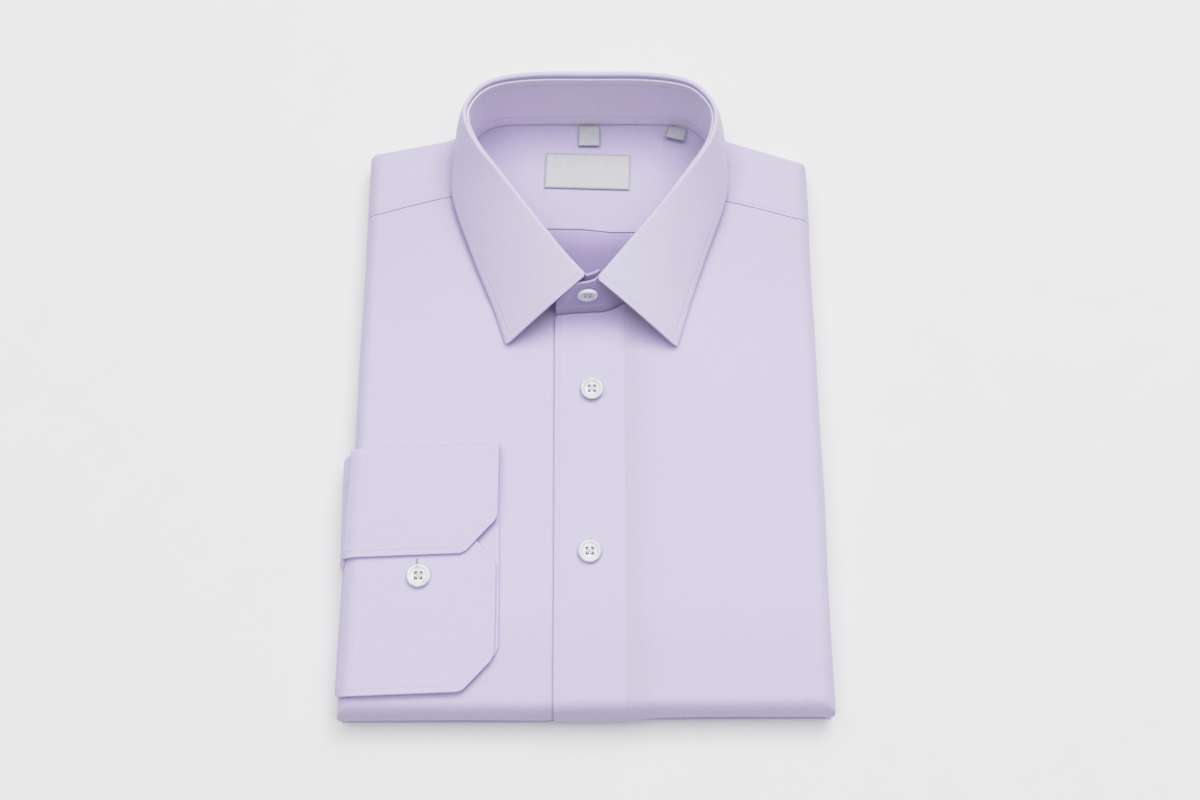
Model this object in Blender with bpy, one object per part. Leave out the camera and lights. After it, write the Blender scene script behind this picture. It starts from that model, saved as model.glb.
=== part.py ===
"""Long sleeve dress shirt, folded flat with its collar standing up and one cuff on the front.

Sizes are in millimetres and become metres where a mesh is made. +Y runs to the collar, +Z is up,
and the side that shows lies on top. Left and right are as seen from above with the collar away.
"""

import math

import bmesh
import bpy
from mathutils import Matrix, Vector
from mathutils.geometry import delaunay_2d_cdt

MM = 0.001
MIDDLE = (-1.58, 0.83)      # of the whole shirt, which becomes the origin

# Cloth and seams
CLOTH = 1.4                 # one panel of the body, with the ply that backs it
COLLAR_CLOTH = 1.3          # two plies and interlining
STAND_CLOTH = 1.4
CUFF_CLOTH = 1.5
INNER_CLOTH = 1.2
LABEL_CLOTH = 0.6
SEAM_GAP = 0.35             # between pieces that meet at a seam
LAYER_GAP = 0.4             # between pieces that lie on each other

# The folded body
BODY_HEIGHT = 21.3
COLLAR_SWELL = 4.7          # how far the fronts rise at the foot of the collar
SWELL_WIDTH, SWELL_LENGTH, SWELL_Y = 75.0, 60.0, 38.0
BACK_DROP = 1.1
WRAP_FOOT = 6.0             # height at which a panel that wraps the edge turns under
WRAP_ANGLES = (28, 56, 84, 112, 140)
STACK_DEPTH = 2.3           # from the outer skin to the hidden layers under it
SKIRT_DEPTH = 1.85
CORNER_STEPS = 4
EDGE_STEP = 26.0
SHEET_STEP = 19.0

# The outline of the folded body: where its edge is widest, where its top starts to round, how far
# each corner is cut back, and how far the lowest layer stands past the widest line.
EDGE_ROWS = (
    # name, wide x, wide y, cut, top x, top y, cut, lowest layer
    ("bottom_left", -117.2, -163.9, 3.0, -109.0, -152.6, 2.0, 0.0),
    ("bottom_right", 117.2, -162.8, 3.0, 109.0, -151.6, 2.0, 0.8),
    ("shoulder_right", 117.2, 133.5, 10.0, 109.0, 124.5, 4.0, -0.5),
    ("neck_right", 74.5, 147.2, 7.0, 72.5, 140.5, 4.0, -0.5),
    ("back_right", 54.0, 159.6, 8.0, 54.0, 157.6, 7.0, -0.5),
    ("back_left", -53.0, 159.6, 8.0, -53.0, 157.6, 7.0, -0.5),
    ("neck_left", -74.0, 147.8, 7.0, -72.0, 140.5, 4.0, -0.5),
    ("shoulder_left", -117.2, 139.0, 8.0, -109.0, 130.0, 4.0, -0.5),
    ("waist_top", -116.2, -30.0, 20.0, -108.0, -30.0, 20.0, -0.5),
    ("waist_bottom", -116.2, -142.0, 4.0, -108.0, -140.0, 4.0, -0.5),
)

# The hidden layers from the floor up: height, and how far each stands inside the lowest line.
LAYER_ROWS = (
    (0.0, 2.6),
    (0.7, 0.7),
    (1.6, 0.0),
    (2.4, 0.7),
    (2.8, 2.0),
    (3.2, 1.0),
    (4.0, 0.5),
    (4.8, 1.2),
    (5.3, 2.6),
)

# The collar, one row for each section from the middle of the back to the front: where the stand is
# sewn to the neck, the top of the stand, the free edge of the leaf, and the radius of the leaf's fold.
# Each has its own middle, because the collar leans a little to the right, and a half width from it.
HALF_RING = (
    # seam middle, half, y; top middle, half, y, z; edge middle, half, y, z; roll
    (0.9, 0.0, 154.8, 0.9, 0.0, 158.3, 57.0, 0.9, 0.0, 166.0, 15.0, 1.25),
    (0.9, 30.0, 154.9, 0.9, 30.0, 158.0, 57.0, 0.9, 32.0, 165.6, 15.0, 1.2),
    (0.9, 50.0, 153.5, 1.0, 49.5, 154.6, 57.0, 0.9, 56.0, 160.5, 17.0, 1.0),
    (0.9, 60.4, 146.4, 1.1, 59.2, 146.8, 56.8, 1.0, 65.5, 151.5, 20.5, 0.85),
    (0.9, 65.0, 136.5, 1.4, 63.0, 136.5, 56.2, 1.0, 70.2, 139.0, 23.5, 0.75),
    (0.9, 66.0, 120.0, 2.4, 58.6, 122.0, 55.5, 1.1, 71.9, 122.0, 26.0, 0.8),
    (0.9, 64.6, 101.0, 2.9, 46.8, 105.0, 54.5, 0.8, 70.4, 103.0, 26.5, 0.9),
    (0.9, 52.0, 78.0, 2.9, 31.6, 84.5, 53.0, 0.95, 58.15, 67.0, 26.6, 1.0),
    (0.9, 33.0, 56.0, 2.5, 15.6, 63.5, 51.3, 1.95, 48.55, 40.0, 26.3, 1.1),
)
# The leaf's ends: seam x, y, top x, y, z, edge x, y, z, roll, and how far the outside of the fold
# runs on past its inside.
LEFT_POINT = (-9.1, 44.8, -1.7, 50.0, 50.5, -40.6, 21.4, 26.0, 1.1, 2.6)
RIGHT_POINT = (12.9, 41.8, 5.9, 48.3, 50.5, 44.9, 20.2, 26.0, 1.1, 2.8)
# The ends of the stand run on past the leaf and lap over each other under the button.
UNDER_LAP = (
    # seam x, y, top x, y, z
    (1.9, 43.6, 1.6, 49.5, 50.4),
    (6.4, 45.4, 4.0, 50.4, 50.2),
    (10.6, 48.2, 5.8, 52.2, 49.4),
)
OVER_LAP = (
    (0.9, 39.7, 0.9, 45.2, 50.3),
    (-7.5, 39.2, -6.7, 43.9, 49.0),
    (-16.1, 38.2, -15.7, 40.2, 38.0),
)
NECK_MIDDLE = (0.9, 100.0)
STAND_BELOW = -0.8          # the stand's foot against the panel that it is sewn to
LAP_ABOVE = 0.45            # the over lap's foot, above the front that it crosses
STAND_BOW = 0.5
STAND_ROWS = 4
ROLL_FOOT = 0.7
ROLL_STEPS = 5
LEAF_STEPS = 5
LEAF_BULGE = 1.6
RING_STEPS = 3              # sections between two rows

# Shoulder seams
YOKE_SEAM_LEFT, YOKE_SEAM_RIGHT = 108.0, 106.5
YOKE_SEAM_SLOPE = 0.15

# Front opening
PLACKET_LEFT, PLACKET_RIGHT = -16.8, 19.5
UNDER_FRONT_EDGE, OVER_FRONT_EDGE = 19.2, 19.9
PLACKET_LIFT = 1.75
FRONT_LIFT = 1.2            # the over front rises to meet the placket's edge
FRONT_LIFT_RUN = 26.0

# Inside the neck
INSIDE_HEIGHT = 18.2
INSIDE_SEAM_Y = 91.0
BACK_INSIDE_END = 52.0

# The cuff and sleeve on the left of the front
CUFF_LIFT_UNDER, CUFF_LIFT_MIDDLE, CUFF_LIFT_OVER = 1.15, 3.05, 4.95
CUFF_FOLD_Y = -35.0
CUFF_RIGHT = -43.0
CUFF_STRAIGHT_BELOW = -140.0
SLEEVE_FOOT = 0.7

# Buttons
BUTTON_RADIUS = 5.7
COLLAR_BUTTON_RADIUS = 5.2
BUTTON_THICK = 2.3
BUTTON_SIDES = 20
COLLAR_BUTTON_UP = 0.74     # share of the stand's height at which its button sits
COLLAR_BUTTON_ASIDE = -0.9

CLOTH_COLOUR = (0.66, 0.62, 0.80, 1.0)
INSIDE_COLOUR = (0.62, 0.57, 0.78, 1.0)
BUTTON_COLOUR = (0.86, 0.86, 0.88, 1.0)
LABEL_COLOUR = (0.60, 0.61, 0.63, 1.0)


# ---------------------------------------------------------------- small helpers

def ease(value):
    value = min(1.0, max(0.0, value))
    return value * value * (3.0 - 2.0 * value)


def through(rows, steps):
    """Points on a smooth curve through the rows, which may have any number of columns."""
    points = []
    last = len(rows) - 1
    for i in range(last):
        before, a, b, after = rows[max(i - 1, 0)], rows[i], rows[i + 1], rows[min(i + 2, last)]
        for k in range(steps):
            t = k / steps
            points.append(tuple(
                0.5 * (2 * q + (r - p) * t + (2 * p - 5 * q + 4 * r - s) * t * t
                       + (3 * q - p - 3 * r + s) * t ** 3)
                for p, q, r, s in zip(before, a, b, after)
            ))
    points.append(tuple(rows[last]))
    return points


def outward(points, i):
    """The level unit vector to the left of the path at point i."""
    a, b = points[max(i - 1, 0)], points[min(i + 1, len(points) - 1)]
    along = Vector((b[0] - a[0], b[1] - a[1]))
    return Vector((-along.y, along.x)).normalized()


def moved_out(points, distance):
    found = []
    for i, point in enumerate(points):
        side = outward(points, i) * distance
        found.append((point[0] + side.x, point[1] + side.y))
    return found


# ---------------------------------------------------------------- surfaces of the folded body

def top_height(x, y):
    """Height of the outer skin on top of the folded body."""
    swell = math.exp(-((x / SWELL_WIDTH) ** 2 + ((y - SWELL_Y) / SWELL_LENGTH) ** 2))
    return BODY_HEIGHT + COLLAR_SWELL * swell - BACK_DROP * ease((y - 118.0) / 34.0)


def inside_height(x, y):
    """Height of the lining yoke and back that show inside the neck."""
    return INSIDE_HEIGHT + 0.7 * ease((y - 125.0) / 28.0) + 0.5 * (x / 62.0) ** 2


def cut_corner(before, corner, after, cut):
    start = corner + (before - corner).normalized() * cut
    end = corner + (after - corner).normalized() * cut
    points = []
    for k in range(CORNER_STEPS + 1):
        t = k / CORNER_STEPS
        points.append(start * (1 - t) ** 2 + corner * 2 * t * (1 - t) + end * t * t)
    return points


def foot_on(point, start, end):
    """The point of the line from start to end that is nearest to a point."""
    along = (end - start).normalized()
    return start + along * (point - start).dot(along)


def corner_pairs(i, wide, top):
    """Matching points of the top outline and the widest line round one corner."""
    before, after = wide[i - 1], wide[(i + 1) % len(wide)]
    outer = cut_corner(before, wide[i], after, EDGE_ROWS[i][3])
    inner = cut_corner(top[i - 1], top[i], top[(i + 1) % len(top)], EDGE_ROWS[i][6])
    first, last = foot_on(inner[0], before, wide[i]), foot_on(inner[-1], wide[i], after)
    if (first - wide[i]).length > EDGE_ROWS[i][3] + 1.0:
        outer.insert(0, first)
        inner.insert(0, inner[0])
        inner[1] = inner[0].lerp(inner[2], 0.4)
    if (last - wide[i]).length > EDGE_ROWS[i][3] + 1.0:
        outer.append(last)
        inner.append(inner[-1])
        inner[-2] = inner[-1].lerp(inner[-3], 0.4)
    return list(zip(inner, outer))


def body_edge():
    """Matching points all round the body: top outline, widest line, and how far the lowest layer
    stands past it."""
    wide = [Vector(row[1:3]) for row in EDGE_ROWS]
    top = [Vector(row[4:6]) for row in EDGE_ROWS]
    corners = [corner_pairs(i, wide, top) for i in range(len(EDGE_ROWS))]
    points = []
    for i, pairs in enumerate(corners):
        following = (i + 1) % len(corners)
        here, there = EDGE_ROWS[i][7], EDGE_ROWS[following][7]
        points += [(a, b, here) for a, b in pairs]
        (top_start, start), (top_end, end) = pairs[-1], corners[following][0]
        steps = max(1, round((end - start).length / EDGE_STEP))
        for k in range(1, steps):
            t = k / steps
            points.append((top_start.lerp(top_end, t), start.lerp(end, t), here + (there - here) * t))
    return points


EDGE = body_edge()


def edge_at(place):
    """The body's edge at a place between two of its numbered points: the top outline, the step out
    to the widest line, the level direction straight out, and the lowest layer."""
    low = math.floor(place)
    t = place - low
    ends = []
    for i in (low, low + 1):
        top, wide, lowest = EDGE[i % len(EDGE)]
        along = EDGE[(i + 1) % len(EDGE)][1] - EDGE[(i - 1) % len(EDGE)][1]
        ends.append((top, wide - top, Vector((along.y, -along.x)).normalized(), lowest))
    a, b = ends
    straight = a[2].lerp(b[2], t).normalized()
    return a[0].lerp(b[0], t), a[1].lerp(b[1], t), straight, a[3] + (b[3] - a[3]) * t


def edge_place(axis, value, near):
    """The place nearest to the point `near` where the top outline has this x or y."""
    found = []
    for i in range(len(EDGE)):
        a, b = EDGE[i][0], EDGE[(i + 1) % len(EDGE)][0]
        if (a[axis] - value) * (b[axis] - value) <= 0 and a[axis] != b[axis]:
            t = (value - a[axis]) / (b[axis] - a[axis])
            found.append(((a.lerp(b, t) - Vector(near)).length, i + t))
    return min(found)[1]


def edge_span(start, end):
    """Places from start to end, with every numbered point between them."""
    if end < start:
        end += len(EDGE)
    inner = range(math.floor(start) + 1, math.ceil(end))
    return [start] + [i for i in inner if i - start > 0.15 and end - i > 0.15] + [end]


def skin(edge, angle, lift):
    """A point on the body's rounded edge: angle 0 is its top and 90 its widest line."""
    top, step, straight = edge[:3]
    turn = math.radians(angle)
    high = top_height(top.x, top.y)
    drop = (high - WRAP_FOOT) / 2
    across, up = drop * math.sin(turn), step.dot(straight) * math.cos(turn)
    length = math.hypot(across, up)
    flat = top + step * math.sin(turn) + straight * (lift * across / length)
    return (flat.x, flat.y, high - drop * (1 - math.cos(turn)) + lift * up / length)


# ---------------------------------------------------------------- meshes and materials

def finish(colour, name, roughness):
    material = bpy.data.materials.new(name)
    material.use_nodes = True
    shader = material.node_tree.nodes["Principled BSDF"]
    shader.inputs["Base Color"].default_value = colour
    shader.inputs["Roughness"].default_value = roughness
    shader.inputs["Metallic"].default_value = 0.0
    return material


def add_node(name, points, faces, colour, wall=None, offset=-1.0, roughness=0.8):
    """An object from points in millimetres; a wall thickness turns an open sheet into a solid."""
    mesh = bpy.data.meshes.new(name)
    mesh.from_pydata([Vector(p) * MM for p in points], [], faces)
    shape = bmesh.new()
    shape.from_mesh(mesh)
    bmesh.ops.remove_doubles(shape, verts=shape.verts, dist=0.01 * MM)
    shape.to_mesh(mesh)
    shape.free()
    mesh.shade_smooth()
    mesh.materials.append(finish(colour, name + "_finish", roughness))
    item = bpy.data.objects.new(name, mesh)
    bpy.context.scene.collection.objects.link(item)
    item.parent = bpy.data.objects["shirt"]
    if wall:
        solidify = item.modifiers.new("wall", "SOLIDIFY")
        solidify.thickness = wall * MM
        solidify.offset = offset
        solidify.use_even_offset = True
    return item


def inside_loop(x, y, loop):
    hit = False
    for i, (ax, ay) in enumerate(loop):
        bx, by = loop[i - 1]
        if (ay > y) != (by > y) and x < (bx - ax) * (y - ay) / (by - ay) + ax:
            hit = not hit
    return hit


def clearance(x, y, loop):
    best = 1e9
    for i, end in enumerate(loop):
        a, b = Vector(loop[i - 1]), Vector(end)
        along = b - a
        t = min(1.0, max(0.0, (Vector((x, y)) - a).dot(along) / max(along.length_squared, 1e-9)))
        best = min(best, (a + along * t - Vector((x, y))).length)
    return best


def flat_sheet(loop, step):
    """Triangles that fill a level outline, with the outline's own points first."""
    xs, ys = [p[0] for p in loop], [p[1] for p in loop]
    points = [Vector(p) for p in loop]
    for row in range(1, int((max(ys) - min(ys)) / step) + 1):
        y = min(ys) + row * step
        shift = 0.5 * step * (row % 2)
        for column in range(int((max(xs) - min(xs)) / step) + 1):
            x = min(xs) + shift + column * step
            if inside_loop(x, y, loop) and clearance(x, y, loop) > 0.5 * step:
                points.append(Vector((x, y)))
    rim = [(i, (i + 1) % len(loop)) for i in range(len(loop))]
    flat, _, faces, sources, _, _ = delaunay_2d_cdt(points, rim, [], 1, 1e-6)
    place = {source: k for k, found in enumerate(sources) for source in found}
    order = sorted(range(len(flat)), key=lambda k: min(sources[k]))
    renumber = {old: new for new, old in enumerate(order)}
    turned = []
    for a, b, c in faces:
        if (flat[b] - flat[a]).cross(flat[c] - flat[a]) < 0:
            b, c = c, b
        turned.append((renumber[a], renumber[b], renumber[c]))
    assert all(renumber[place[i]] == i for i in range(len(loop)))
    return [tuple(flat[k]) for k in order], turned


def skin_sheet(name, span, inner, lift, colour=CLOTH_COLOUR, raised=None, wall=CLOTH):
    """A panel on top of the body that wraps down round its edge along the span of places."""
    edges = [edge_at(place) for place in span]
    loop = [tuple(edge[0]) for edge in edges] + inner
    flat, faces = flat_sheet(loop, SHEET_STEP)
    rise = raised or (lambda x, y: 0.0)
    points = [(x, y, top_height(x, y) + lift + rise(x, y)) for x, y in flat]
    ring = list(range(len(edges)))
    for angle in WRAP_ANGLES:
        start = len(points)
        for edge in edges:
            points.append(skin(edge, angle, lift + rise(*edge[0])))
        following = list(range(start, len(points)))
        for i in range(len(ring) - 1):
            faces.append((ring[i + 1], ring[i], following[i], following[i + 1]))
        ring = following
    return add_node(name, points, faces, colour, wall)


def grid_faces(rows, columns):
    return [(r * columns + c, r * columns + c + 1, (r + 1) * columns + c + 1, (r + 1) * columns + c)
            for r in range(rows - 1) for c in range(columns - 1)]


# ---------------------------------------------------------------- the collar's curves

def half_rows(side):
    """Rows of one side of the collar, from the middle of the back: left is -1 and right is 1."""
    rows = []
    for a, seam, seam_y, b, top, top_y, top_z, c, edge, edge_y, edge_z, roll in HALF_RING:
        rows.append((a + side * seam, seam_y, b + side * top, top_y, top_z,
                     c + side * edge, edge_y, edge_z, roll, 0.0))
    return rows


def leaf_rows():
    """Sections of the whole leaf, from its left point round the back to its right point."""
    left, right = half_rows(-1), half_rows(1)
    return through([LEFT_POINT] + left[:0:-1] + right + [RIGHT_POINT], RING_STEPS)


def stand_rows():
    """Sections of the stand: seam x, y, top x, y, z, and the height of its foot over the skin."""
    left, right = half_rows(-1), half_rows(1)
    rows = list(UNDER_LAP[::-1]) + [LEFT_POINT] + left[:0:-1] + right
    rows = [row[:5] + (STAND_BELOW,) for row in rows]
    rows += [row[:5] + (LAP_ABOVE,) for row in [RIGHT_POINT] + list(OVER_LAP)]
    return through(rows, RING_STEPS)


def neck_path():
    """The neck seam in plan from the left point round the back to the right point."""
    return [row[:2] for row in leaf_rows()]


def neck_line(distance, low_left, low_right):
    """The neck seam moved out, between the heights in y at which it starts and ends."""
    path = moved_out(neck_path(), distance)
    middle = len(path) // 2
    left = [p for p in path[:middle] if p[1] > low_left + 1.0]
    right = [p for p in path[middle:] if p[1] > low_right + 1.0]
    return left + right


def neck_x(distance, y, side):
    """Where the neck seam, moved out, crosses this y on the left (-1) or right (1)."""
    path = moved_out(neck_path(), distance)
    middle = len(path) // 2
    half = path[:middle + 1] if side < 0 else path[middle:]
    for a, b in zip(half, half[1:]):
        if (a[1] - y) * (b[1] - y) <= 0 and a[1] != b[1]:
            return a[0] + (b[0] - a[0]) * (y - a[1]) / (b[1] - a[1])
    raise ValueError("the neck seam doesn't reach this y")


NECK_CLEAR = STAND_CLOTH / 2 + SEAM_GAP


# ---------------------------------------------------------------- pieces of the shirt

def yoke_seam(x):
    base = YOKE_SEAM_LEFT if x < 0 else YOKE_SEAM_RIGHT
    return base - YOKE_SEAM_SLOPE * (abs(x) - 66.0)


def seam_line(side, shift):
    """The shoulder seam in plan, from the neck outwards, moved along y."""
    start = neck_x(NECK_CLEAR, yoke_seam(side * 66.0) + shift, side)
    return [(start + (side * 109.0 - start) * t, yoke_seam(start + (side * 109.0 - start) * t) + shift)
            for t in (0.0, 0.25, 0.5, 0.75)]


def front_rise(x, y):
    return FRONT_LIFT * (1.0 - ease((x - OVER_FRONT_EDGE) / FRONT_LIFT_RUN))


def build_front_right():
    """The wearer's right front, on the left, which runs on under the placket."""
    shift = -SEAM_GAP / 2
    top = edge_place(1, yoke_seam(-109.0) + shift, (-109.0, 100.0))
    bottom = edge_place(0, UNDER_FRONT_EDGE, (UNDER_FRONT_EDGE, -150.0))
    seam = seam_line(-1, shift)
    neck = [p for p in neck_line(NECK_CLEAR, 0.0, 200.0) if p[1] < seam[0][1] - 2.0]
    rim = [(UNDER_FRONT_EDGE, y) for y in (-100.0, -50.0, 0.0)]
    rim += [(UNDER_FRONT_EDGE, 41.0), (2.0, 41.2)]
    skin_sheet("front_right", edge_span(top, bottom), rim + neck + seam, 0.0)


def build_front_left():
    """The wearer's left front, on the right, whose edge is under the placket."""
    shift = -SEAM_GAP / 2
    bottom = edge_place(0, OVER_FRONT_EDGE, (OVER_FRONT_EDGE, -150.0))
    top = edge_place(1, yoke_seam(109.0) + shift, (109.0, 100.0))
    seam = seam_line(1, shift)
    neck = [p for p in neck_line(NECK_CLEAR, 200.0, 0.0) if p[1] < seam[0][1] - 2.0]
    neck = [p for p in neck if p[0] > OVER_FRONT_EDGE + 1.0]
    rim = [(OVER_FRONT_EDGE, y) for y in (43.5, 0.0, -50.0, -100.0)]
    skin_sheet("front_left", edge_span(bottom, top), seam[::-1] + neck + rim, 0.0, raised=front_rise)


def build_placket():
    left = edge_place(0, PLACKET_LEFT, (PLACKET_LEFT, -150.0))
    right = edge_place(0, PLACKET_RIGHT, (PLACKET_RIGHT, -150.0))
    over = [p for p in moved_out([row[:2] for row in stand_rows()], NECK_CLEAR)[-10:]]
    over = [p for p in over if PLACKET_LEFT + 1.0 < p[0] < PLACKET_RIGHT - 1.0]
    up = [(PLACKET_RIGHT, y) for y in (-120.0, -90.0, -60.0, -30.0, 0.0, 25.0, 43.0)]
    down = [(PLACKET_LEFT, y) for y in (36.7, 10.0, -20.0, -50.0, -80.0, -110.0)]
    skin_sheet("front_placket", edge_span(left, right), up + over + down, PLACKET_LIFT)


def build_yoke():
    shift = SEAM_GAP / 2
    right = edge_place(1, yoke_seam(109.0) + shift, (109.0, 100.0))
    left = edge_place(1, yoke_seam(-109.0) + shift, (-109.0, 100.0))
    left_seam, right_seam = seam_line(-1, shift), seam_line(1, shift)
    neck = neck_line(NECK_CLEAR, left_seam[0][1], right_seam[0][1])
    inner = left_seam[::-1] + neck + right_seam
    skin_sheet("yoke", edge_span(right, left), inner, 0.0)


def inside_sheet(name, loop):
    flat, faces = flat_sheet(loop, SHEET_STEP)
    points = [(x, y, inside_height(x, y)) for x, y in flat]
    add_node(name, points, faces, INSIDE_COLOUR, INNER_CLOTH)


def build_inside():
    """The inner yoke, and the strip of back under it, that show through the neck."""
    reach = 0.4
    seam = INSIDE_SEAM_Y
    low, high = seam - SEAM_GAP / 2, seam + SEAM_GAP / 2
    upper = neck_line(reach, high, high)
    left, right = neck_x(reach, high, -1), neck_x(reach, high, 1)
    across = [left + (right - left) * k / 6 for k in range(7)]
    inside_sheet("inner_yoke", ([(x, high) for x in across] + upper[::-1]))
    path = moved_out(neck_path(), reach)
    middle = len(path) // 2
    down = [p for p in path[:middle] if BACK_INSIDE_END < p[1] < low - 1.0]
    up = [p for p in path[middle:] if BACK_INSIDE_END < p[1] < low - 1.0]
    left, right = neck_x(reach, low, -1), neck_x(reach, low, 1)
    across = [right + (left - right) * k / 6 for k in range(7)]
    inside_sheet("back_panel", [(x, low) for x in across] + down[::-1] + up[::-1])


def build_stand():
    rows = stand_rows()
    points = []
    tops = [(row[2], row[3]) for row in rows]
    for i, (seam_x, seam_y, top_x, top_y, top_z, above) in enumerate(rows):
        foot = Vector((seam_x, seam_y, top_height(seam_x, seam_y) + above))
        head = Vector((top_x, top_y, top_z))
        side = outward(tops, i)
        for k in range(STAND_ROWS + 1):
            t = k / STAND_ROWS
            bow = STAND_BOW * math.sin(math.pi * t)
            points.append(tuple(foot.lerp(head, t) + Vector((side.x, side.y, 0)) * bow))
    faces = grid_faces(len(rows), STAND_ROWS + 1)
    add_node("collar_stand", points, faces, CLOTH_COLOUR, STAND_CLOTH, 0.0)


def leaf_section(row, side):
    """One section of the leaf: up from the stand, over the fold and down to its free edge."""
    head, edge = Vector(row[2:5]), Vector(row[5:8])
    roll, lead = row[8:10]
    out = Vector((side.x, side.y, 0.0))
    ahead = Vector((-side.y, side.x, 0.0)) * lead * (1.0 if head.x < NECK_MIDDLE[0] else -1.0)
    centre = head + out * (roll + 0.1) + Vector((0, 0, ROLL_FOOT + 0.6 * roll))
    reach = edge - centre
    level = max(reach.dot(out), 0.5)
    last = math.degrees(math.atan2(level, reach.z)) - 8.0
    points = [head + out * 0.1 + Vector((0, 0, ROLL_FOOT))]
    for k in range(ROLL_STEPS + 1):
        turn = math.radians(12.0 + (last - 12.0) * k / ROLL_STEPS)
        arch = out * (-roll * math.cos(turn)) + Vector((0, 0, roll * math.sin(turn)))
        points.append(centre + arch + ahead * k / ROLL_STEPS)
    start = points[-1]
    along = (edge - start).normalized()
    lean = (out - along * out.dot(along) + Vector((0, 0, 0.35)))
    middle = (start + edge) / 2 + lean.normalized() * 2 * LEAF_BULGE
    for k in range(1, LEAF_STEPS + 1):
        t = k / LEAF_STEPS
        points.append(start * (1 - t) ** 2 + middle * 2 * t * (1 - t) + edge * t * t)
    return [tuple(p) for p in points]


def build_leaf():
    rows = leaf_rows()
    tops = [row[2:4] for row in rows]
    points = []
    for i, row in enumerate(rows):
        points += leaf_section(row, outward(tops, i))
    columns = len(points) // len(rows)
    add_node("collar_leaf", points, grid_faces(len(rows), columns), CLOTH_COLOUR, COLLAR_CLOTH, 0.0)


def ring_faces(rings):
    faces = []
    for low, high in zip(rings, rings[1:]):
        for i in range(len(low)):
            j = (i + 1) % len(low)
            faces.append((low[i], low[j], high[j], high[i]))
    return faces


def well_point(place):
    """The rim of the hollow inside the neck, on the line from its middle to this place."""
    middle = Vector(NECK_MIDDLE)
    target = EDGE[place][0]
    loop = moved_out(neck_path(), NECK_CLEAR + 0.45)
    for a, b in zip(loop, loop[1:] + loop[:1]):
        a, b = Vector(a), Vector(b)
        ray, wall = target - middle, b - a
        cross = ray.cross(wall)
        if abs(cross) < 1e-9:
            continue
        t = (a - middle).cross(wall) / cross
        s = (a - middle).cross(ray) / cross
        if t > 0 and -1e-6 <= s <= 1 + 1e-6:
            return middle + ray * t
    raise ValueError("the line misses the neck")


def build_folded_layers():
    """The back, tails and sleeves folded away inside: one solid, layered where its edge shows."""
    edges = [edge_at(i) for i in range(len(EDGE))]
    count = len(edges)
    rims = [well_point(i) for i in range(count)]
    middle = Vector(NECK_MIDDLE)
    points, rings = [], []

    def add_ring(ring):
        rings.append(list(range(len(points), len(points) + count)))
        points.extend(ring)

    for height, inset in LAYER_ROWS:
        ring = []
        for top, step, straight, lowest in edges:
            flat = top + step + straight * (lowest - inset)
            ring.append((flat.x, flat.y, height))
        add_ring(ring)
    for height in (LAYER_ROWS[-1][0], WRAP_FOOT + 1.9):
        add_ring([(*(edge[0] - edge[2] * 0.6), height) for edge in edges])
    for angle in (150, 120, 90, 60, 30):
        add_ring([skin(edge, angle, -min(SKIRT_DEPTH, 0.82 * edge[1].dot(edge[2]))) for edge in edges])
    for t in (0.0, 0.35, 0.7, 1.0):
        flats = [edge[0].lerp(rim, t) for edge, rim in zip(edges, rims)]
        add_ring([(p.x, p.y, top_height(p.x, p.y) - STACK_DEPTH) for p in flats])
    for t in (1.0, 0.5):
        flats = [middle.lerp(rim, t) for rim in rims]
        add_ring([(p.x, p.y, inside_height(p.x, p.y) - INNER_CLOTH - 0.5) for p in flats])
    faces = ring_faces(rings)
    floor, well = len(points), len(points) + 1
    points.append((0.0, 0.0, 0.0))
    points.append((*middle, inside_height(*middle) - INNER_CLOTH - 0.5))
    for i in range(count):
        j = (i + 1) % count
        faces.append((rings[0][j], rings[0][i], floor))
        faces.append((rings[-1][i], rings[-1][j], well))
    add_node("folded_layers", points, faces, INSIDE_COLOUR)


# ---------------------------------------------------------------- cuff and sleeve

def left_edge(y):
    """The body's left edge beside the cuff, which runs straight on where the body's corner rounds."""
    y_on_edge = max(y, CUFF_STRAIGHT_BELOW)
    top, step, _, _ = edge_at(edge_place(1, y_on_edge, (-109.0, y_on_edge)))
    return Vector((top.x, y)), Vector((step.x, 0.0)), Vector((-1.0, 0.0))


def cuff_point(x, y, lift):
    """A point on the cuff. x left of the body's top outline counts along the rounded edge."""
    edge = left_edge(y)
    if x >= edge[0].x:
        return (x, y, top_height(x, y) + lift)
    return skin(edge, math.degrees((edge[0].x - x) / 8.0), lift)


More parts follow.
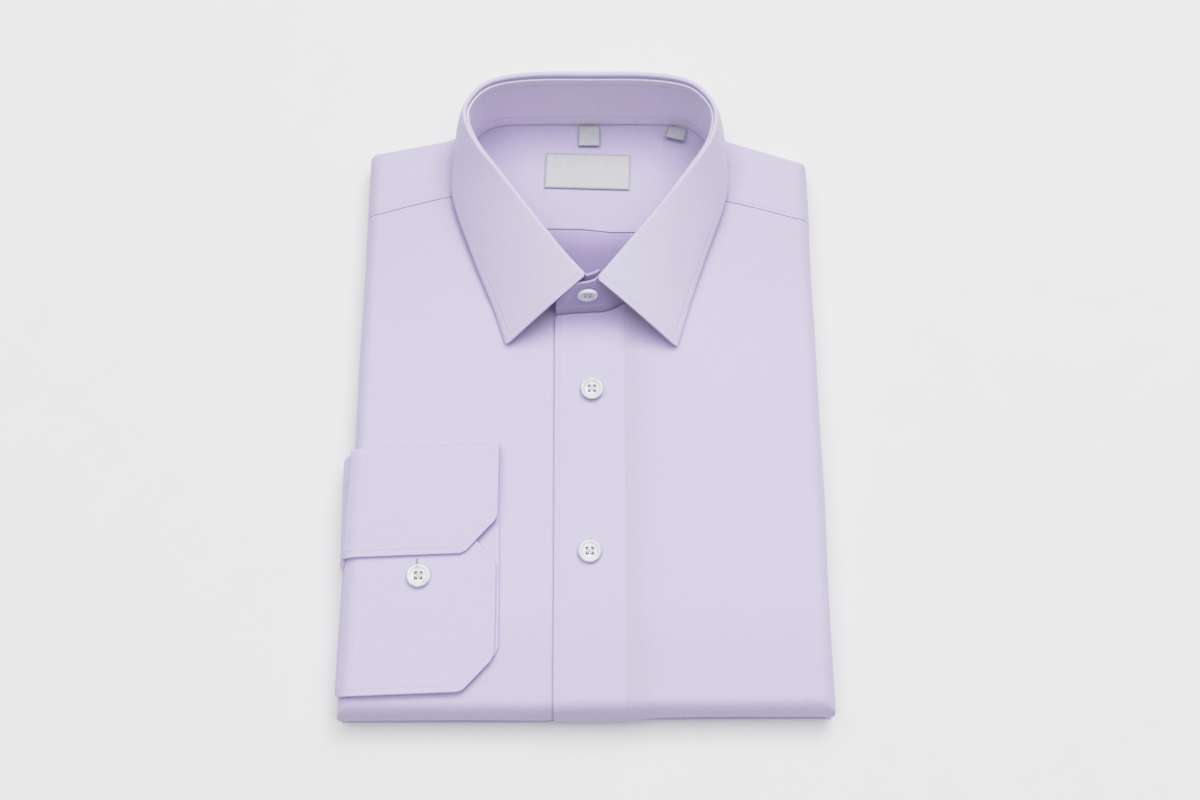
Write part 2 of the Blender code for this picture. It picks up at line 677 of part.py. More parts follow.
# One row for each line across the cuff's width: y at its right end, how much lower the left end is,
# left end, right end, height over the front.
CUFF_ROWS = (
    # y, dip, left x, right x, lift
    (-152.6, 0.0, -107.0, -56.2, CUFF_LIFT_UNDER),
    (-146.0, 0.0, -107.0, -50.6, CUFF_LIFT_UNDER),
    (-135.6, 0.0, -107.0, -41.7, CUFF_LIFT_UNDER),
    (-110.0, 0.0, -107.0, -42.1, CUFF_LIFT_UNDER),
    (-85.0, 0.0, -107.0, -42.5, CUFF_LIFT_UNDER),
    (-60.0, 0.5, -111.0, -42.9, CUFF_LIFT_UNDER),
    (CUFF_FOLD_Y - 1.6, 1.9, -112.0, CUFF_RIGHT, CUFF_LIFT_UNDER),
    (CUFF_FOLD_Y - 0.4, 1.9, -112.0, CUFF_RIGHT, CUFF_LIFT_UNDER + 0.7),
    (CUFF_FOLD_Y, 1.9, -112.0, CUFF_RIGHT, 3.05),
    (CUFF_FOLD_Y - 0.4, 1.9, -112.0, CUFF_RIGHT, CUFF_LIFT_OVER - 0.7),
    (CUFF_FOLD_Y - 1.8, 1.9, -112.6, CUFF_RIGHT, CUFF_LIFT_OVER),
    (-52.0, 1.0, -113.0, CUFF_RIGHT, CUFF_LIFT_OVER + 0.2),
    (-66.6, 0.9, -113.4, CUFF_RIGHT - 0.1, CUFF_LIFT_OVER + 0.3),
    (-77.4, 0.9, -113.7, -50.2, CUFF_LIFT_OVER + 0.2),
    (-86.6, 1.5, -114.0, -57.2, CUFF_LIFT_OVER),
    (-88.6, 1.7, -114.0, -70.0, CUFF_LIFT_OVER),
)
BUTTON_END_ROWS = (
    (-78.0, 0.0, -107.0, -56.0, CUFF_LIFT_MIDDLE),
    (-82.4, 0.0, -107.0, -51.7, CUFF_LIFT_MIDDLE),
    (-92.0, 0.6, -113.0, -44.1, CUFF_LIFT_MIDDLE),
    (-95.0, 0.4, -116.7, -44.0, CUFF_LIFT_MIDDLE),
    (-106.0, 0.0, -116.7, -43.9, CUFF_LIFT_MIDDLE),
    (-120.0, 0.0, -116.7, -43.7, CUFF_LIFT_MIDDLE),
    (-133.6, 0.0, -116.7, -43.5, CUFF_LIFT_MIDDLE),
    (-143.0, 0.4, -116.7, -50.0, CUFF_LIFT_MIDDLE),
    (-152.4, 1.4, -116.7, -56.6, CUFF_LIFT_MIDDLE),
    (-154.0, 1.6, -116.7, -70.0, CUFF_LIFT_MIDDLE),
)
CUFF_COLUMNS = (0.0, 0.06, 0.12, 0.2, 0.4, 0.6, 0.8, 1.0)


def side_lift(x, y, lift, settled):
    """The cuff settles closer to the body as it turns down round the edge."""
    return lift + (settled - lift) * ease((left_edge(y)[0].x - x) / 9.0)


def build_cuff_piece(name, rows, settled):
    points = []
    for row_y, dip, left, right, lift in rows:
        for t in CUFF_COLUMNS:
            x = left + (right - left) * t
            y = row_y - dip * (1.0 - t) ** 3
            here = side_lift(x, y, lift, settled(lift))
            points.append(cuff_point(x, y, here))
    faces = grid_faces(len(rows), len(CUFF_COLUMNS))
    add_node(name, points, faces, CLOTH_COLOUR, CUFF_CLOTH, 0.0)


# The sleeve from the cuff's seam round the left edge: y, x of the seam, height over the body.
SLEEVE_ROWS = (
    (-37.6, -113.2, 1.3),
    (-38.4, -113.2, 3.0),
    (-41.0, -113.3, 4.2),
    (-52.0, -113.6, 4.1),
    (-75.0, -114.2, 3.3),
    (-89.8, -114.5, 3.0),
    (-92.0, -117.3, 1.5),
    (-115.0, -117.3, 1.75),
    (-135.0, -117.3, 1.75),
    (-154.6, -117.3, 1.75),
)


def build_sleeve():
    points = []
    for y, seam, lift in SLEEVE_ROWS:
        edge = left_edge(y)
        first = math.degrees((edge[0].x - seam) / 8.0)
        for k in range(4):
            points.append(skin(edge, first + (90.0 - first) * k / 3, lift))
        side = skin(edge, 90.0, lift)
        for height in (7.0, SLEEVE_FOOT):
            points.append((side[0], side[1], height))
    add_node("sleeve", points, grid_faces(len(SLEEVE_ROWS), 6), CLOTH_COLOUR, CUFF_CLOTH, 0.0)


# ---------------------------------------------------------------- labels and buttons

# Labels inside the neck: name, middle x, upper edge y, width, length, tilt, lift of the free end
LABEL_ROWS = (
    ("neck_label", 0.1, 136.2, 45.2, 21.0, -1.8, 0.0),
    ("care_tab", 0.6, 153.5, 11.6, 12.8, 0.0, 0.8),
    ("size_tab", 48.4, 152.1, 10.4, 8.6, -16.0, 2.4),
)


def build_label(name, middle, upper, width, length, tilt, lift):
    turn = Matrix.Rotation(math.radians(tilt), 2)
    points = []
    for down in (0.0, 0.33, 0.67, 1.0):
        for across in (-0.5, -0.17, 0.17, 0.5):
            flat = Vector((middle, upper)) + turn @ Vector((across * width, -down * length))
            above = inside_height(*flat) + 0.35 + LABEL_CLOTH / 2 + lift * down
            points.append((flat.x, flat.y, above))
    faces = [face[::-1] for face in grid_faces(4, 4)]
    add_node(name, points, faces, LABEL_COLOUR, LABEL_CLOTH, 0.0)


# A button's half section: distance from its middle and height, as shares of radius and thickness
BUTTON_PROFILE = (
    (0.0, 0.0),
    (0.72, 0.0),
    (0.96, 0.28),
    (1.0, 0.6),
    (0.9, 0.95),
    (0.76, 1.0),
    (0.58, 0.72),
    (0.0, 0.66),
)


def build_button(name, place, facing, radius=BUTTON_RADIUS):
    """A button whose back is at the place and whose face points along `facing`."""
    profile = [(r * radius, h * BUTTON_THICK) for r, h in BUTTON_PROFILE]
    points, faces = [(0.0, 0.0, profile[0][1])], []
    for r, h in profile[1:-1]:
        for k in range(BUTTON_SIDES):
            turn = 2 * math.pi * k / BUTTON_SIDES
            points.append((r * math.cos(turn), r * math.sin(turn), h))
    points.append((0.0, 0.0, profile[-1][1]))
    rings = [[1 + n * BUTTON_SIDES + k for k in range(BUTTON_SIDES)] for n in range(len(profile) - 2)]
    faces += ring_faces(rings)
    for k in range(BUTTON_SIDES):
        j = (k + 1) % BUTTON_SIDES
        faces.append((0, rings[0][j], rings[0][k]))
        faces.append((rings[-1][k], rings[-1][j], len(points) - 1))
    item = add_node(name, points, faces, BUTTON_COLOUR, roughness=0.3)
    item.rotation_mode = "QUATERNION"
    item.rotation_quaternion = Vector((0, 0, 1)).rotation_difference(Vector(facing))
    item.location = Vector(place) * MM


def build_buttons():
    for name, x, y in (("front_button_upper", 2.4, -2.8), ("front_button_lower", 1.1, -86.2)):
        build_button(name, (x, y, top_height(x, y) + PLACKET_LIFT + LAYER_GAP), (0, 0, 1))
    x, y = -79.8, -98.4
    build_button("cuff_button", (x, y, top_height(x, y) + CUFF_LIFT_MIDDLE + CUFF_CLOTH / 2
                                 + LAYER_GAP), (0, 0, 1))
    seam_x, seam_y, top_x, top_y, top_z = OVER_LAP[0]
    foot = Vector((seam_x, seam_y, top_height(seam_x, seam_y) + LAP_ABOVE))
    head = Vector((top_x, top_y, top_z))
    up = (head - foot).normalized()
    facing = Vector((0.08, -1.0, 0.0)).cross(up).cross(up) * -1.0
    facing.normalize()
    if facing.y > 0:
        facing = -facing
    place = foot.lerp(head, COLLAR_BUTTON_UP) + facing * (STAND_CLOTH / 2 + STAND_BOW + SEAM_GAP)
    place.x += COLLAR_BUTTON_ASIDE
    build_button("collar_button", place, facing, COLLAR_BUTTON_RADIUS)


# ---------------------------------------------------------------- the whole shirt

def main():
    for item in list(bpy.data.objects):
        bpy.data.objects.remove(item)
    shirt = bpy.data.objects.new("shirt", None)
    bpy.context.scene.collection.objects.link(shirt)
    shirt.location = (-MIDDLE[0] * MM, -MIDDLE[1] * MM, 0.0)
    build_folded_layers()
    build_front_right()
    build_front_left()
    build_placket()
    build_yoke()
    build_inside()
    build_stand()
    build_leaf()
    build_cuff_piece("cuff", CUFF_ROWS, lambda lift: lift if lift < 2.0 else 4.1)
    build_cuff_piece("cuff_button_end", BUTTON_END_ROWS, lambda lift: 1.4)
    build_sleeve()
    for row in LABEL_ROWS:
        build_label(*row)
    build_buttons()


main()
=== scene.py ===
"""Looks of a long sleeve dress shirt, folded flat with its collar standing up and one cuff on its
front.

The shapes are worked out in millimetres and become metres where a mesh is made. +Y runs to the
collar, +Z is up, and left and right are as seen from above with the collar away. Every cloth piece
carries a UV map in centimetres for its weave and an attribute, "sewn", that gives the distance in
millimetres from its rows of stitches. Another attribute holds painted shade: how much a place's
colour is darkened towards a darker tone for the shade that falls there.
"""

import math

import bmesh
import bpy
import numpy as np
from mathutils import Matrix, Vector, kdtree
from mathutils.geometry import delaunay_2d_cdt


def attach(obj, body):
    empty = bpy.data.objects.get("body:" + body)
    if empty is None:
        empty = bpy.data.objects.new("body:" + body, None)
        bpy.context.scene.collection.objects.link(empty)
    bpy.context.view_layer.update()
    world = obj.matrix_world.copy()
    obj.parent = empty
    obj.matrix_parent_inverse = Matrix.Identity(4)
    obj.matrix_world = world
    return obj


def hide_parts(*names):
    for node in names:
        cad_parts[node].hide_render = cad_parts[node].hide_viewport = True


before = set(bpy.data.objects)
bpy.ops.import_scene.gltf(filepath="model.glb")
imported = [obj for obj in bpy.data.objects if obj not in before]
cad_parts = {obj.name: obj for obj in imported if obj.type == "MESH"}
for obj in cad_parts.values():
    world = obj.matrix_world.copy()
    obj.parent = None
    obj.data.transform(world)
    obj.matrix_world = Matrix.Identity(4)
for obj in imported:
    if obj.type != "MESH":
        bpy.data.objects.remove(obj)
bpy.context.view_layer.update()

MM = 0.001
CM_PER_MM = 0.1
MIDDLE = Vector((-1.58, 0.83, 0.0))    # of the whole shirt, which is the origin

# Cloth
PANEL_CLOTH = 0.9
COLLAR_CLOTH = 1.3
STAND_CLOTH = 1.4
CUFF_CLOTH = 1.5
INNER_CLOTH = 0.9
LABEL_CLOTH = 0.5
SEAM_GAP = 0.35
LAYER_GAP = 0.4

# The folded body
BODY_HEIGHT = 21.3
COLLAR_SWELL = 4.7
SWELL_WIDTH, SWELL_LENGTH, SWELL_Y = 75.0, 60.0, 38.0
BACK_DROP, BACK_DROP_Y, BACK_DROP_RUN = 1.1, 118.0, 34.0
WRAP_FOOT = 2.4
WIDE_SHARE = 0.66           # how far down its side the body is widest
WRAP_STEPS, WRAP_END = 16, 140.0
WRAP_FADE = 80.0            # degrees over which the creases of the top end on the rounded edge
WRAP_LAID = 0.17            # cloth laid out flat for each degree
WRAP_RADIUS = 8.0           # of the rounded edge beside the cuff
TOP_X = 109.0               # of the top outline at the sides
STACK_DEPTH = 2.3
SKIRT_DEPTH = 1.85
CORNER_STEPS = 10
EDGE_STEP = 4.0
SHEET_STEP, INSIDE_STEP = 3.6, 2.4
PLACES_APART = 0.15         # a place nearer than this to the end of its span is left out
JOIN_PAST, JOIN_SHARE = 1.0, 0.4

EDGE_ROWS = (
    # name, wide x, wide y, cut, top x, top y, cut, lowest layer
    ("bottom_left", -117.2, -163.8, 1.2, -109.0, -156.3, 1.2, 0.0),
    ("placket_hem_left", -20.0, -163.8, 1.5, -20.0, -156.6, 1.5, 0.0),
    ("placket_hem_middle", -14.0, -162.9, 1.5, -14.0, -156.1, 1.5, 0.0),
    ("placket_hem_right", 20.1, -162.8, 1.5, 20.1, -155.8, 1.5, 0.0),
    ("front_hem_left", 30.0, -162.5, 1.5, 30.0, -155.4, 1.5, 0.0),
    ("bottom_right", 117.2, -162.1, 1.6, 109.0, -154.6, 1.6, 0.0),
    ("shoulder_right", 117.2, 133.5, 3.0, 109.0, 124.5, 2.0, -0.5),
    ("neck_right", 74.5, 147.2, 7.0, 72.5, 140.5, 4.0, -0.5),
    ("back_right", 54.0, 159.6, 8.0, 54.0, 157.6, 7.0, -0.5),
    ("back_left", -53.0, 159.6, 8.0, -53.0, 157.6, 7.0, -0.5),
    ("neck_left", -74.0, 147.8, 7.0, -72.0, 140.5, 4.0, -0.5),
    ("shoulder_left", -117.2, 139.0, 3.6, -109.0, 130.0, 2.4, -0.5),
    ("waist_top", -116.2, -30.0, 20.0, -108.0, -30.0, 20.0, -0.5),
    ("waist_bottom", -116.2, -142.0, 4.0, -108.0, -140.0, 4.0, -0.5),
)

# The hidden layers from the floor up: height, and how far each stands inside the lowest line.
LAYER_ROWS = (
    # height, inset
    (0.0, 2.7),
    (0.15, 2.4),
    (0.35, 1.3),
    (0.5, 0.9),
    (0.75, 0.8),
    (0.95, 1.05),
    (1.05, 2.0),
    (1.15, 3.8),
    (1.4, 2.7),
    (1.75, 2.4),
    (2.1, 2.8),
    (2.25, 4.4),
    (2.45, 3.2),
    (2.8, 2.9),
    (3.1, 3.4),
    (3.25, 4.8),
)
LAYER_WAVES = (
    # depth, number round the body, shift for each millimetre up
    (0.22, 9, 1.7),
    (0.12, 23, -1.0),
)
LEAST_WAVE = -0.1
LIP_FOOT, LIP_TOP, LIP_IN = 0.1, 2.4, 0.6       # above the layers, where the panels turn under
SKIRT_SHARE = 0.82

# The collar, from the middle of the back to the front
HALF_RING = (
    # seam middle, half, y; top middle, half, y, z; edge middle, half, y, z; roll
    (0.9, 0.0, 154.8, 0.9, 0.0, 158.3, 57.0, 0.9, 0.0, 166.0, 15.0, 1.25),
    (0.9, 30.0, 154.9, 0.9, 30.0, 158.0, 57.0, 0.9, 32.0, 165.6, 15.0, 1.2),
    (0.9, 50.0, 153.5, 1.0, 49.5, 154.6, 57.0, 0.9, 56.0, 160.5, 17.0, 1.0),
    (0.9, 60.4, 146.4, 1.1, 59.2, 146.8, 56.8, 1.0, 65.5, 151.5, 20.5, 0.85),
    (0.9, 65.0, 136.5, 1.4, 63.0, 136.5, 56.2, 1.0, 70.2, 139.0, 23.5, 0.75),
    (0.9, 66.0, 120.0, 2.4, 58.6, 122.0, 55.5, 1.1, 71.9, 122.0, 26.0, 0.8),
    (0.9, 64.6, 101.0, 2.9, 46.8, 105.0, 54.5, 0.8, 70.4, 103.0, 26.5, 0.9),
    (0.9, 52.0, 78.0, 2.9, 31.6, 84.5, 53.0, 0.95, 58.15, 67.0, 26.6, 1.0),
    (0.9, 33.0, 56.0, 2.5, 15.6, 63.5, 51.3, 1.95, 48.55, 40.0, 26.3, 1.1),
)
# The leaf's ends: seam x, y, top x, y, z, edge x, y, z, roll, lead of the fold's outside
LEFT_POINT = (-9.1, 44.8, -1.7, 50.0, 50.5, -40.6, 21.4, 26.0, 1.1, 2.6)
RIGHT_POINT = (12.9, 41.8, 5.9, 48.3, 50.5, 44.9, 20.2, 26.0, 1.1, 2.8)
UNDER_LAP = (
    # seam x, y, top x, y, z
    (1.9, 43.6, 1.6, 49.5, 50.4),
    (6.4, 45.4, 4.0, 50.4, 50.2),
    (10.6, 48.2, 5.8, 52.2, 49.4),
)
OVER_LAP = (
    (0.9, 39.7, 0.9, 45.2, 50.3),
    (-7.5, 39.2, -6.7, 43.9, 49.0),
    (-16.1, 38.2, -15.7, 40.2, 38.0),
)
NECK_MIDDLE = (0.9, 100.0)
STAND_BELOW, LAP_ABOVE = -0.8, 0.45
STAND_BOW = 0.5
STAND_ROWS = 18
ROLL_FOOT = 0.35
ROLL_BEHIND = 0.85          # how far the leaf starts behind the middle of the stand
ROLL_RISE, ROLL_RISE_SHARE = 0.95, 0.6
LEAST_REACH = 0.5
ROLL_SHARE = 0.72           # the roll is this much tighter than its row says
ROLL_STEPS = 12
LEAF_STEPS = 22
LEAF_BULGE = 1.6
LEAF_CORNER = 1.6           # radius of the leaf's points
LEAF_STITCH = 3.0
STAND_TOP_STITCH, STAND_FOOT_STITCHES = 4.6, (1.7, 6.4)
ROLL_START, ROLL_SHORT = 12.0, 8.0      # degrees
LEAF_LEAN = 0.35
RING_STEPS = 12

# Seams and openings
YOKE_SEAM_LEFT, YOKE_SEAM_RIGHT = 109.6, 107.0
YOKE_SEAM_X, YOKE_SEAM_SLOPE, YOKE_SEAM_LEVEL = 66.0, 0.3, 7.0
PLACKET_LEFT_TOP, PLACKET_LEFT_FOOT = -16.4, -15.3
PLACKET_RIGHT = 18.6
UNDER_FRONT_EDGE, OVER_FRONT_EDGE = 18.3, 18.48
PLACKET_LIFT = 1.75
FRONT_LIFT = 1.68
FRONT_LIFT_RUN = 18.0
SETTLE = 0.43               # how much less a panel is lifted where it turns down
INSIDE_HEIGHT = 18.2
INSIDE_DIP, INSIDE_DIP_RUN = 2.5, 42.0      # of the back towards the front of the neck
INSIDE_RISE, INSIDE_RISE_Y, INSIDE_RISE_RUN = 0.7, 125.0, 28.0
INSIDE_HOLLOW, NECK_HALF = 0.5, 62.0
INSIDE_SEAM_Y = 91.5
INSIDE_SEAM_DROP = 2.0      # how much lower the seam runs at its right end
BACK_INSIDE_END = 52.0
INSIDE_REACH = 0.4          # of the panels under the foot of the stand

# Painted shade: how much of its darker tone a cloth takes, and where and over how far it changes
# along y
# painted shade on the whole yoke, and on the inner yoke inside the neck
YOKE_TONE, INNER_YOKE_TONE = 0.75, 0.9
# painted shade on the fronts towards the hem, where less light falls
FOOT_TONE, FOOT_TONE_Y, FOOT_TONE_RUN = 0.45, -105.0, 35.0
# painted shade on the rounded lower edge
HEM_TONE, HEM_TONE_Y, HEM_TONE_RUN = 0.55, -159.5, 4.0
# painted shade on the fronts towards the shoulders
CHEST_TONE, CHEST_TONE_Y, CHEST_TONE_RUN = 0.75, 10.0, 85.0
# painted shade on the back panel towards the front of the neck
BACK_TONE_Y, BACK_TONE_RUN = 93.0, 18.0
# painted shade on the stand towards its front
STAND_TONE_Y, STAND_TONE_RUN = 70.0, 88.0
# painted shade on the front beside the placket's right edge
BESIDE_PLACKET = 11.0

# The placket
PLACKET_TOP_Y, PLACKET_LONG = 36.7, 187.0
PLACKET_STITCH, YOKE_STITCH = 2.2, 1.4

# The cuff and sleeve
CUFF_LIFT_UNDER, CUFF_LIFT_MIDDLE, CUFF_LIFT_OVER = 1.15, 3.05, 4.95
CUFF_SETTLED_UNDER, CUFF_SETTLED_OVER = 1.4, 4.1     # where the cuff has turned down the side
CUFF_PAST_FOLD = 2.0        # the cuff is past its fold from this height over the front
CUFF_CREASE_SHARE = 0.5
CUFF_STITCH = 2.6
CUFF_FOLD_Y = -33.0
CUFF_RIGHT = -43.0
CUFF_STRAIGHT_BELOW = -140.0
SLEEVE_FOOT = 0.7

# Buttons
BUTTON_RADIUS, COLLAR_BUTTON_RADIUS = 5.7, 5.2
BUTTON_THICK = 2.3
BUTTON_SIDES = 72
COLLAR_BUTTON_UP, COLLAR_BUTTON_ASIDE = 0.725, -0.9
BUTTON_HANG, BUTTON_SAG = 0.95, 0.17     # the collar button hangs a little on its thread
HOLE_RADIUS, HOLE_OUT = 0.85, 1.75

# The underside
# How round a corner stays where a layer stands further in than this share of its radius
SHARP_SHARE, SHARP_FROM = 0.12, 0.6
UNDER_STEP = 3.0
FLAP_EDGE, FLAP_STEP = 0.4, 1.6     # half the width of the step at a flap's edge
WELL_OUT, WELL_BELOW = 0.45, 0.9        # the hollow of the neck beside the seam and under the yoke

# Stitches: pitch, length, width and height on cloth, and those of a label's border
STITCH = (1.45, 1.0, 0.42, 0.42)
# a label's border is dark thread, a painted shadow along its edges
BORDER = (0.5, 0.62, 0.2, 0.2)
FAR_FROM_STITCHES = 20.0


def ease(value):
    value = min(1.0, max(0.0, value))
    return value * value * (3.0 - 2.0 * value)


def bell(value):
    return math.exp(-value * value)


def through(rows, steps):
    """Points on a smooth curve through the rows, which may have any number of columns."""
    points = []
    last = len(rows) - 1
    for i in range(last):
        before, a, b, after = rows[max(i - 1, 0)], rows[i], rows[i + 1], rows[min(i + 2, last)]
        for k in range(steps):
            t = k / steps
            points.append(tuple(
                0.5 * (2 * q + (r - p) * t + (2 * p - 5 * q + 4 * r - s) * t * t
                       + (3 * q - p - 3 * r + s) * t ** 3)
                for p, q, r, s in zip(before, a, b, after)
            ))
    points.append(tuple(rows[last]))
    return points


def outward(points, i):
    """The level unit vector to the left of the path at point i."""
    a, b = points[max(i - 1, 0)], points[min(i + 1, len(points) - 1)]
    along = Vector((b[0] - a[0], b[1] - a[1]))
    return Vector((-along.y, along.x)).normalized()


def moved_out(points, distance):
    found = []
    for i, point in enumerate(points):
        side = outward(points, i) * distance
        found.append((point[0] + side.x, point[1] + side.y))
    return found


# ---------------------------------------------------------------- creases

CREASE_PAST, CREASE_FADE = 0.3, 0.5     # shares of a crease's length
BELL_REACH = 3.0
# Soft creases of the top: a trough's height is below 0
FRONT_CREASES = (
    # name, from x, y, to x, y, half width, height
    ("button_drag_right", 17.0, 33.0, 3.0, 2.0, 4.6, 0.75),
    ("button_drag_trough", 26.0, 28.0, 9.0, -6.0, 5.5, -0.5),
    ("left_point_lift", -62.0, 16.0, -38.0, 10.0, 11.0, -0.35),
    ("right_point_lift", 44.0, 9.0, 74.0, 20.0, 12.0, -0.3),
    ("left_chest", -92.0, 70.0, -66.0, -12.0, 17.0, 0.4),
    ("right_chest", 98.0, 66.0, 62.0, -34.0, 19.0, 0.35),
    ("left_of_placket", -32.0, 26.0, -26.0, -112.0, 9.0, -0.35),
    ("right_of_placket", 40.0, 34.0, 33.0, -140.0, 8.0, -0.3),
    ("cuff_pull", -44.0, -12.0, -22.0, -64.0, 9.0, 0.25),
    ("hem_left", -36.0, -138.0, -2.0, -143.0, 6.0, -0.2),
    ("hem_right", 34.0, -141.0, 96.0, -136.0, 7.0, -0.3),
    ("right_side", 101.0, 40.0, 104.0, -96.0, 8.0, 0.3),
    ("left_neck_hollow", -75.5, 132.0, -76.0, 114.0, 4.5, -1.3),
    ("right_neck_hollow", 77.0, 127.0, 76.0, 116.0, 3.4, -1.1),
    ("left_shoulder", -76.0, 121.0, -101.0, 96.0, 9.0, 0.35),
    ("right_shoulder", 78.0, 119.0, 99.0, 92.0, 10.0, 0.3),
)
# Soft creases inside the neck
INSIDE_CREASES = (
    ("seam_gather_left", -9.0, 93.0, -10.0, 101.0, 1.7, -0.35),
    ("seam_gather_middle", 6.5, 92.0, 6.0, 98.0, 1.5, -0.45),
    ("seam_gather_right", 14.0, 91.0, 15.5, 102.0, 1.9, -0.4),
    ("back_pleat_far_left", -9.0, 90.0, -8.0, 74.0, 1.6, -0.35),
    ("back_pleat_left", -2.0, 90.0, -3.0, 72.0, 2.2, -0.45),
    ("back_pleat_middle", 5.5, 90.0, 5.0, 78.0, 1.5, 0.3),
    ("back_pleat_right", 13.0, 88.0, 11.0, 70.0, 2.0, -0.4),
    ("corner_fold_upper", 50.0, 152.0, 61.0, 143.0, 1.3, 0.5),
    ("corner_fold_lower", 53.0, 148.0, 63.0, 139.5, 1.2, -0.4),
    ("left_hollow", -34.0, 140.0, -52.0, 112.0, 11.0, -0.4),
    ("right_hollow", 40.0, 138.0, 50.0, 112.0, 9.0, -0.35),
)
# Edges of the flaps folded over the back, from below: the cloth on the left of a line, looking
# along it, lies higher by a step that fades away from the edge
UNDER_FOLDS = (
    # name, x, y, x, y, step, width over which it fades
    ("left_flap", -30.0, 150.0, -14.0, -170.0, 1.0, 60.0),
    ("right_flap", 22.0, -170.0, 33.0, 150.0, 1.0, 60.0),
    ("tail", -125.0, -47.0, 125.0, -41.0, 0.9, 22.0),
)
# Creases pressed into the flaps by folding
UNDER_CREASES = (
    ("left_sleeve", -88.0, -150.0, -84.0, 84.0, 1.5, 0.5),
    ("right_sleeve", 88.0, -150.0, 81.0, 90.0, 1.6, 0.45),
    ("tail_middle", -70.0, -98.0, 86.0, -104.0, 2.6, 0.35),
    ("left_pull", -100.0, 104.0, -42.0, 62.0, 4.0, 0.4),
    ("right_pull", 102.0, 96.0, 47.0, 70.0, 3.6, 0.4),
    ("yoke_pull", -22.0, 122.0, 20.0, 118.0, 3.0, 0.3),
    ("tail_left", -96.0, -64.0, -52.0, -92.0, 3.2, 0.3),
    ("tail_right", 98.0, -70.0, 60.0, -130.0, 3.4, 0.35),
)


def creased(rows, x, y):
    """How far the creases move the cloth at this place."""
    total = 0.0
    for _, ax, ay, bx, by, half, height in rows:
        along_x, along_y = bx - ax, by - ay
        length = math.hypot(along_x, along_y)
        t = ((x - ax) * along_x + (y - ay) * along_y) / (length * length)
        if -CREASE_PAST < t < 1.0 + CREASE_PAST:
            across = abs((x - ax) * along_y - (y - ay) * along_x) / length
            if across < BELL_REACH * half:
                ends = ease((t + CREASE_PAST) / CREASE_FADE)
                ends *= ease((1.0 + CREASE_PAST - t) / CREASE_FADE)
                total += height * ends * bell(across / half)
    return total


# Soft hollows and swells on the rounded edge, between its top and where it turns under
SIDE_CREASES = (
    # name, x, y, half length, angle, half turn, height
    ("right_front", 109.0, -118.0, 34.0, 96.0, 26.0, -0.7),
    ("right_middle", 109.0, -52.0, 26.0, 78.0, 22.0, 0.4),
    ("right_long", 109.0, -8.0, 44.0, 104.0, 20.0, -0.8),
    ("right_yoke", 109.0, 66.0, 22.0, 84.0, 24.0, -0.5),
    ("right_shoulder", 109.0, 104.0, 13.0, 100.0, 22.0, 0.4),
    ("left_shoulder", -109.0, 112.0, 15.0, 98.0, 22.0, -0.5),
    ("left_yoke", -109.0, 70.0, 30.0, 88.0, 24.0, -0.6),
    ("left_middle", -108.0, 12.0, 24.0, 102.0, 20.0, 0.4),
    ("bottom_left", -58.0, -152.6, 30.0, 104.0, 20.0, -0.5),
    ("bottom_middle", 2.0, -152.6, 20.0, 98.0, 22.0, 0.25),
    ("bottom_right", 66.0, -151.6, 36.0, 104.0, 20.0, -0.5),
    ("back_left", -62.0, 149.0, 18.0, 96.0, 24.0, -0.5),
    ("back_middle", -6.0, 157.6, 26.0, 102.0, 22.0, 0.3),
    ("back_right", 58.0, 151.0, 16.0, 92.0, 24.0, -0.5),
)


def side_crease(top, angle):
    """How far the hollows and swells of the rounded edge move the cloth."""
    total = 0.0
    for _, x, y, half, middle, turn, height in SIDE_CREASES:
        along = math.hypot(top.x - x, top.y - y) / half
        if along < BELL_REACH:
            total += height * bell(along) * bell((angle - middle) / turn)
    return total


# ---------------------------------------------------------------- surfaces of the folded body

def top_height(x, y):
    """Height of the outer skin on top of the folded body, without its creases."""
    swell = bell(math.hypot(x / SWELL_WIDTH, (y - SWELL_Y) / SWELL_LENGTH))
    drop = BACK_DROP * ease((y - BACK_DROP_Y) / BACK_DROP_RUN)
    return BODY_HEIGHT + COLLAR_SWELL * swell - drop


def inside_height(x, y):
    """Height of the lining yoke and back that show inside the neck."""
    dip = INSIDE_DIP * ease((INSIDE_SEAM_Y + 2.0 - y) / INSIDE_DIP_RUN)
    rise = INSIDE_RISE * ease((y - INSIDE_RISE_Y) / INSIDE_RISE_RUN)
    return INSIDE_HEIGHT - dip + rise + INSIDE_HOLLOW * (x / NECK_HALF) ** 2


def cut_corner(before, corner, after, cut):
    start = corner + (before - corner).normalized() * cut
    end = corner + (after - corner).normalized() * cut
    points = []
    for k in range(CORNER_STEPS + 1):
        t = k / CORNER_STEPS
        points.append(start * (1 - t) ** 2 + corner * 2 * t * (1 - t) + end * t * t)
    return points


def foot_on(point, start, end):
    """The point of the line from start to end that is nearest to a point."""
    along = (end - start).normalized()
    return start + along * (point - start).dot(along)


def corner_pairs(i, wide, top):
    """Matching points of the top outline and the widest line round one corner."""
    before, after = wide[i - 1], wide[(i + 1) % len(wide)]
    cut = EDGE_ROWS[i][3]
    outer = cut_corner(before, wide[i], after, cut)
    inner = cut_corner(top[i - 1], top[i], top[(i + 1) % len(top)], EDGE_ROWS[i][6])
    first, last = foot_on(inner[0], before, wide[i]), foot_on(inner[-1], wide[i], after)
    if (first - wide[i]).length > cut + JOIN_PAST:
        outer.insert(0, first)
        inner.insert(0, inner[0])
        inner[1] = inner[0].lerp(inner[2], JOIN_SHARE)
    if (last - wide[i]).length > cut + JOIN_PAST:
        outer.append(last)
        inner.append(inner[-1])
        inner[-2] = inner[-1].lerp(inner[-3], JOIN_SHARE)
    return list(zip(inner, outer))


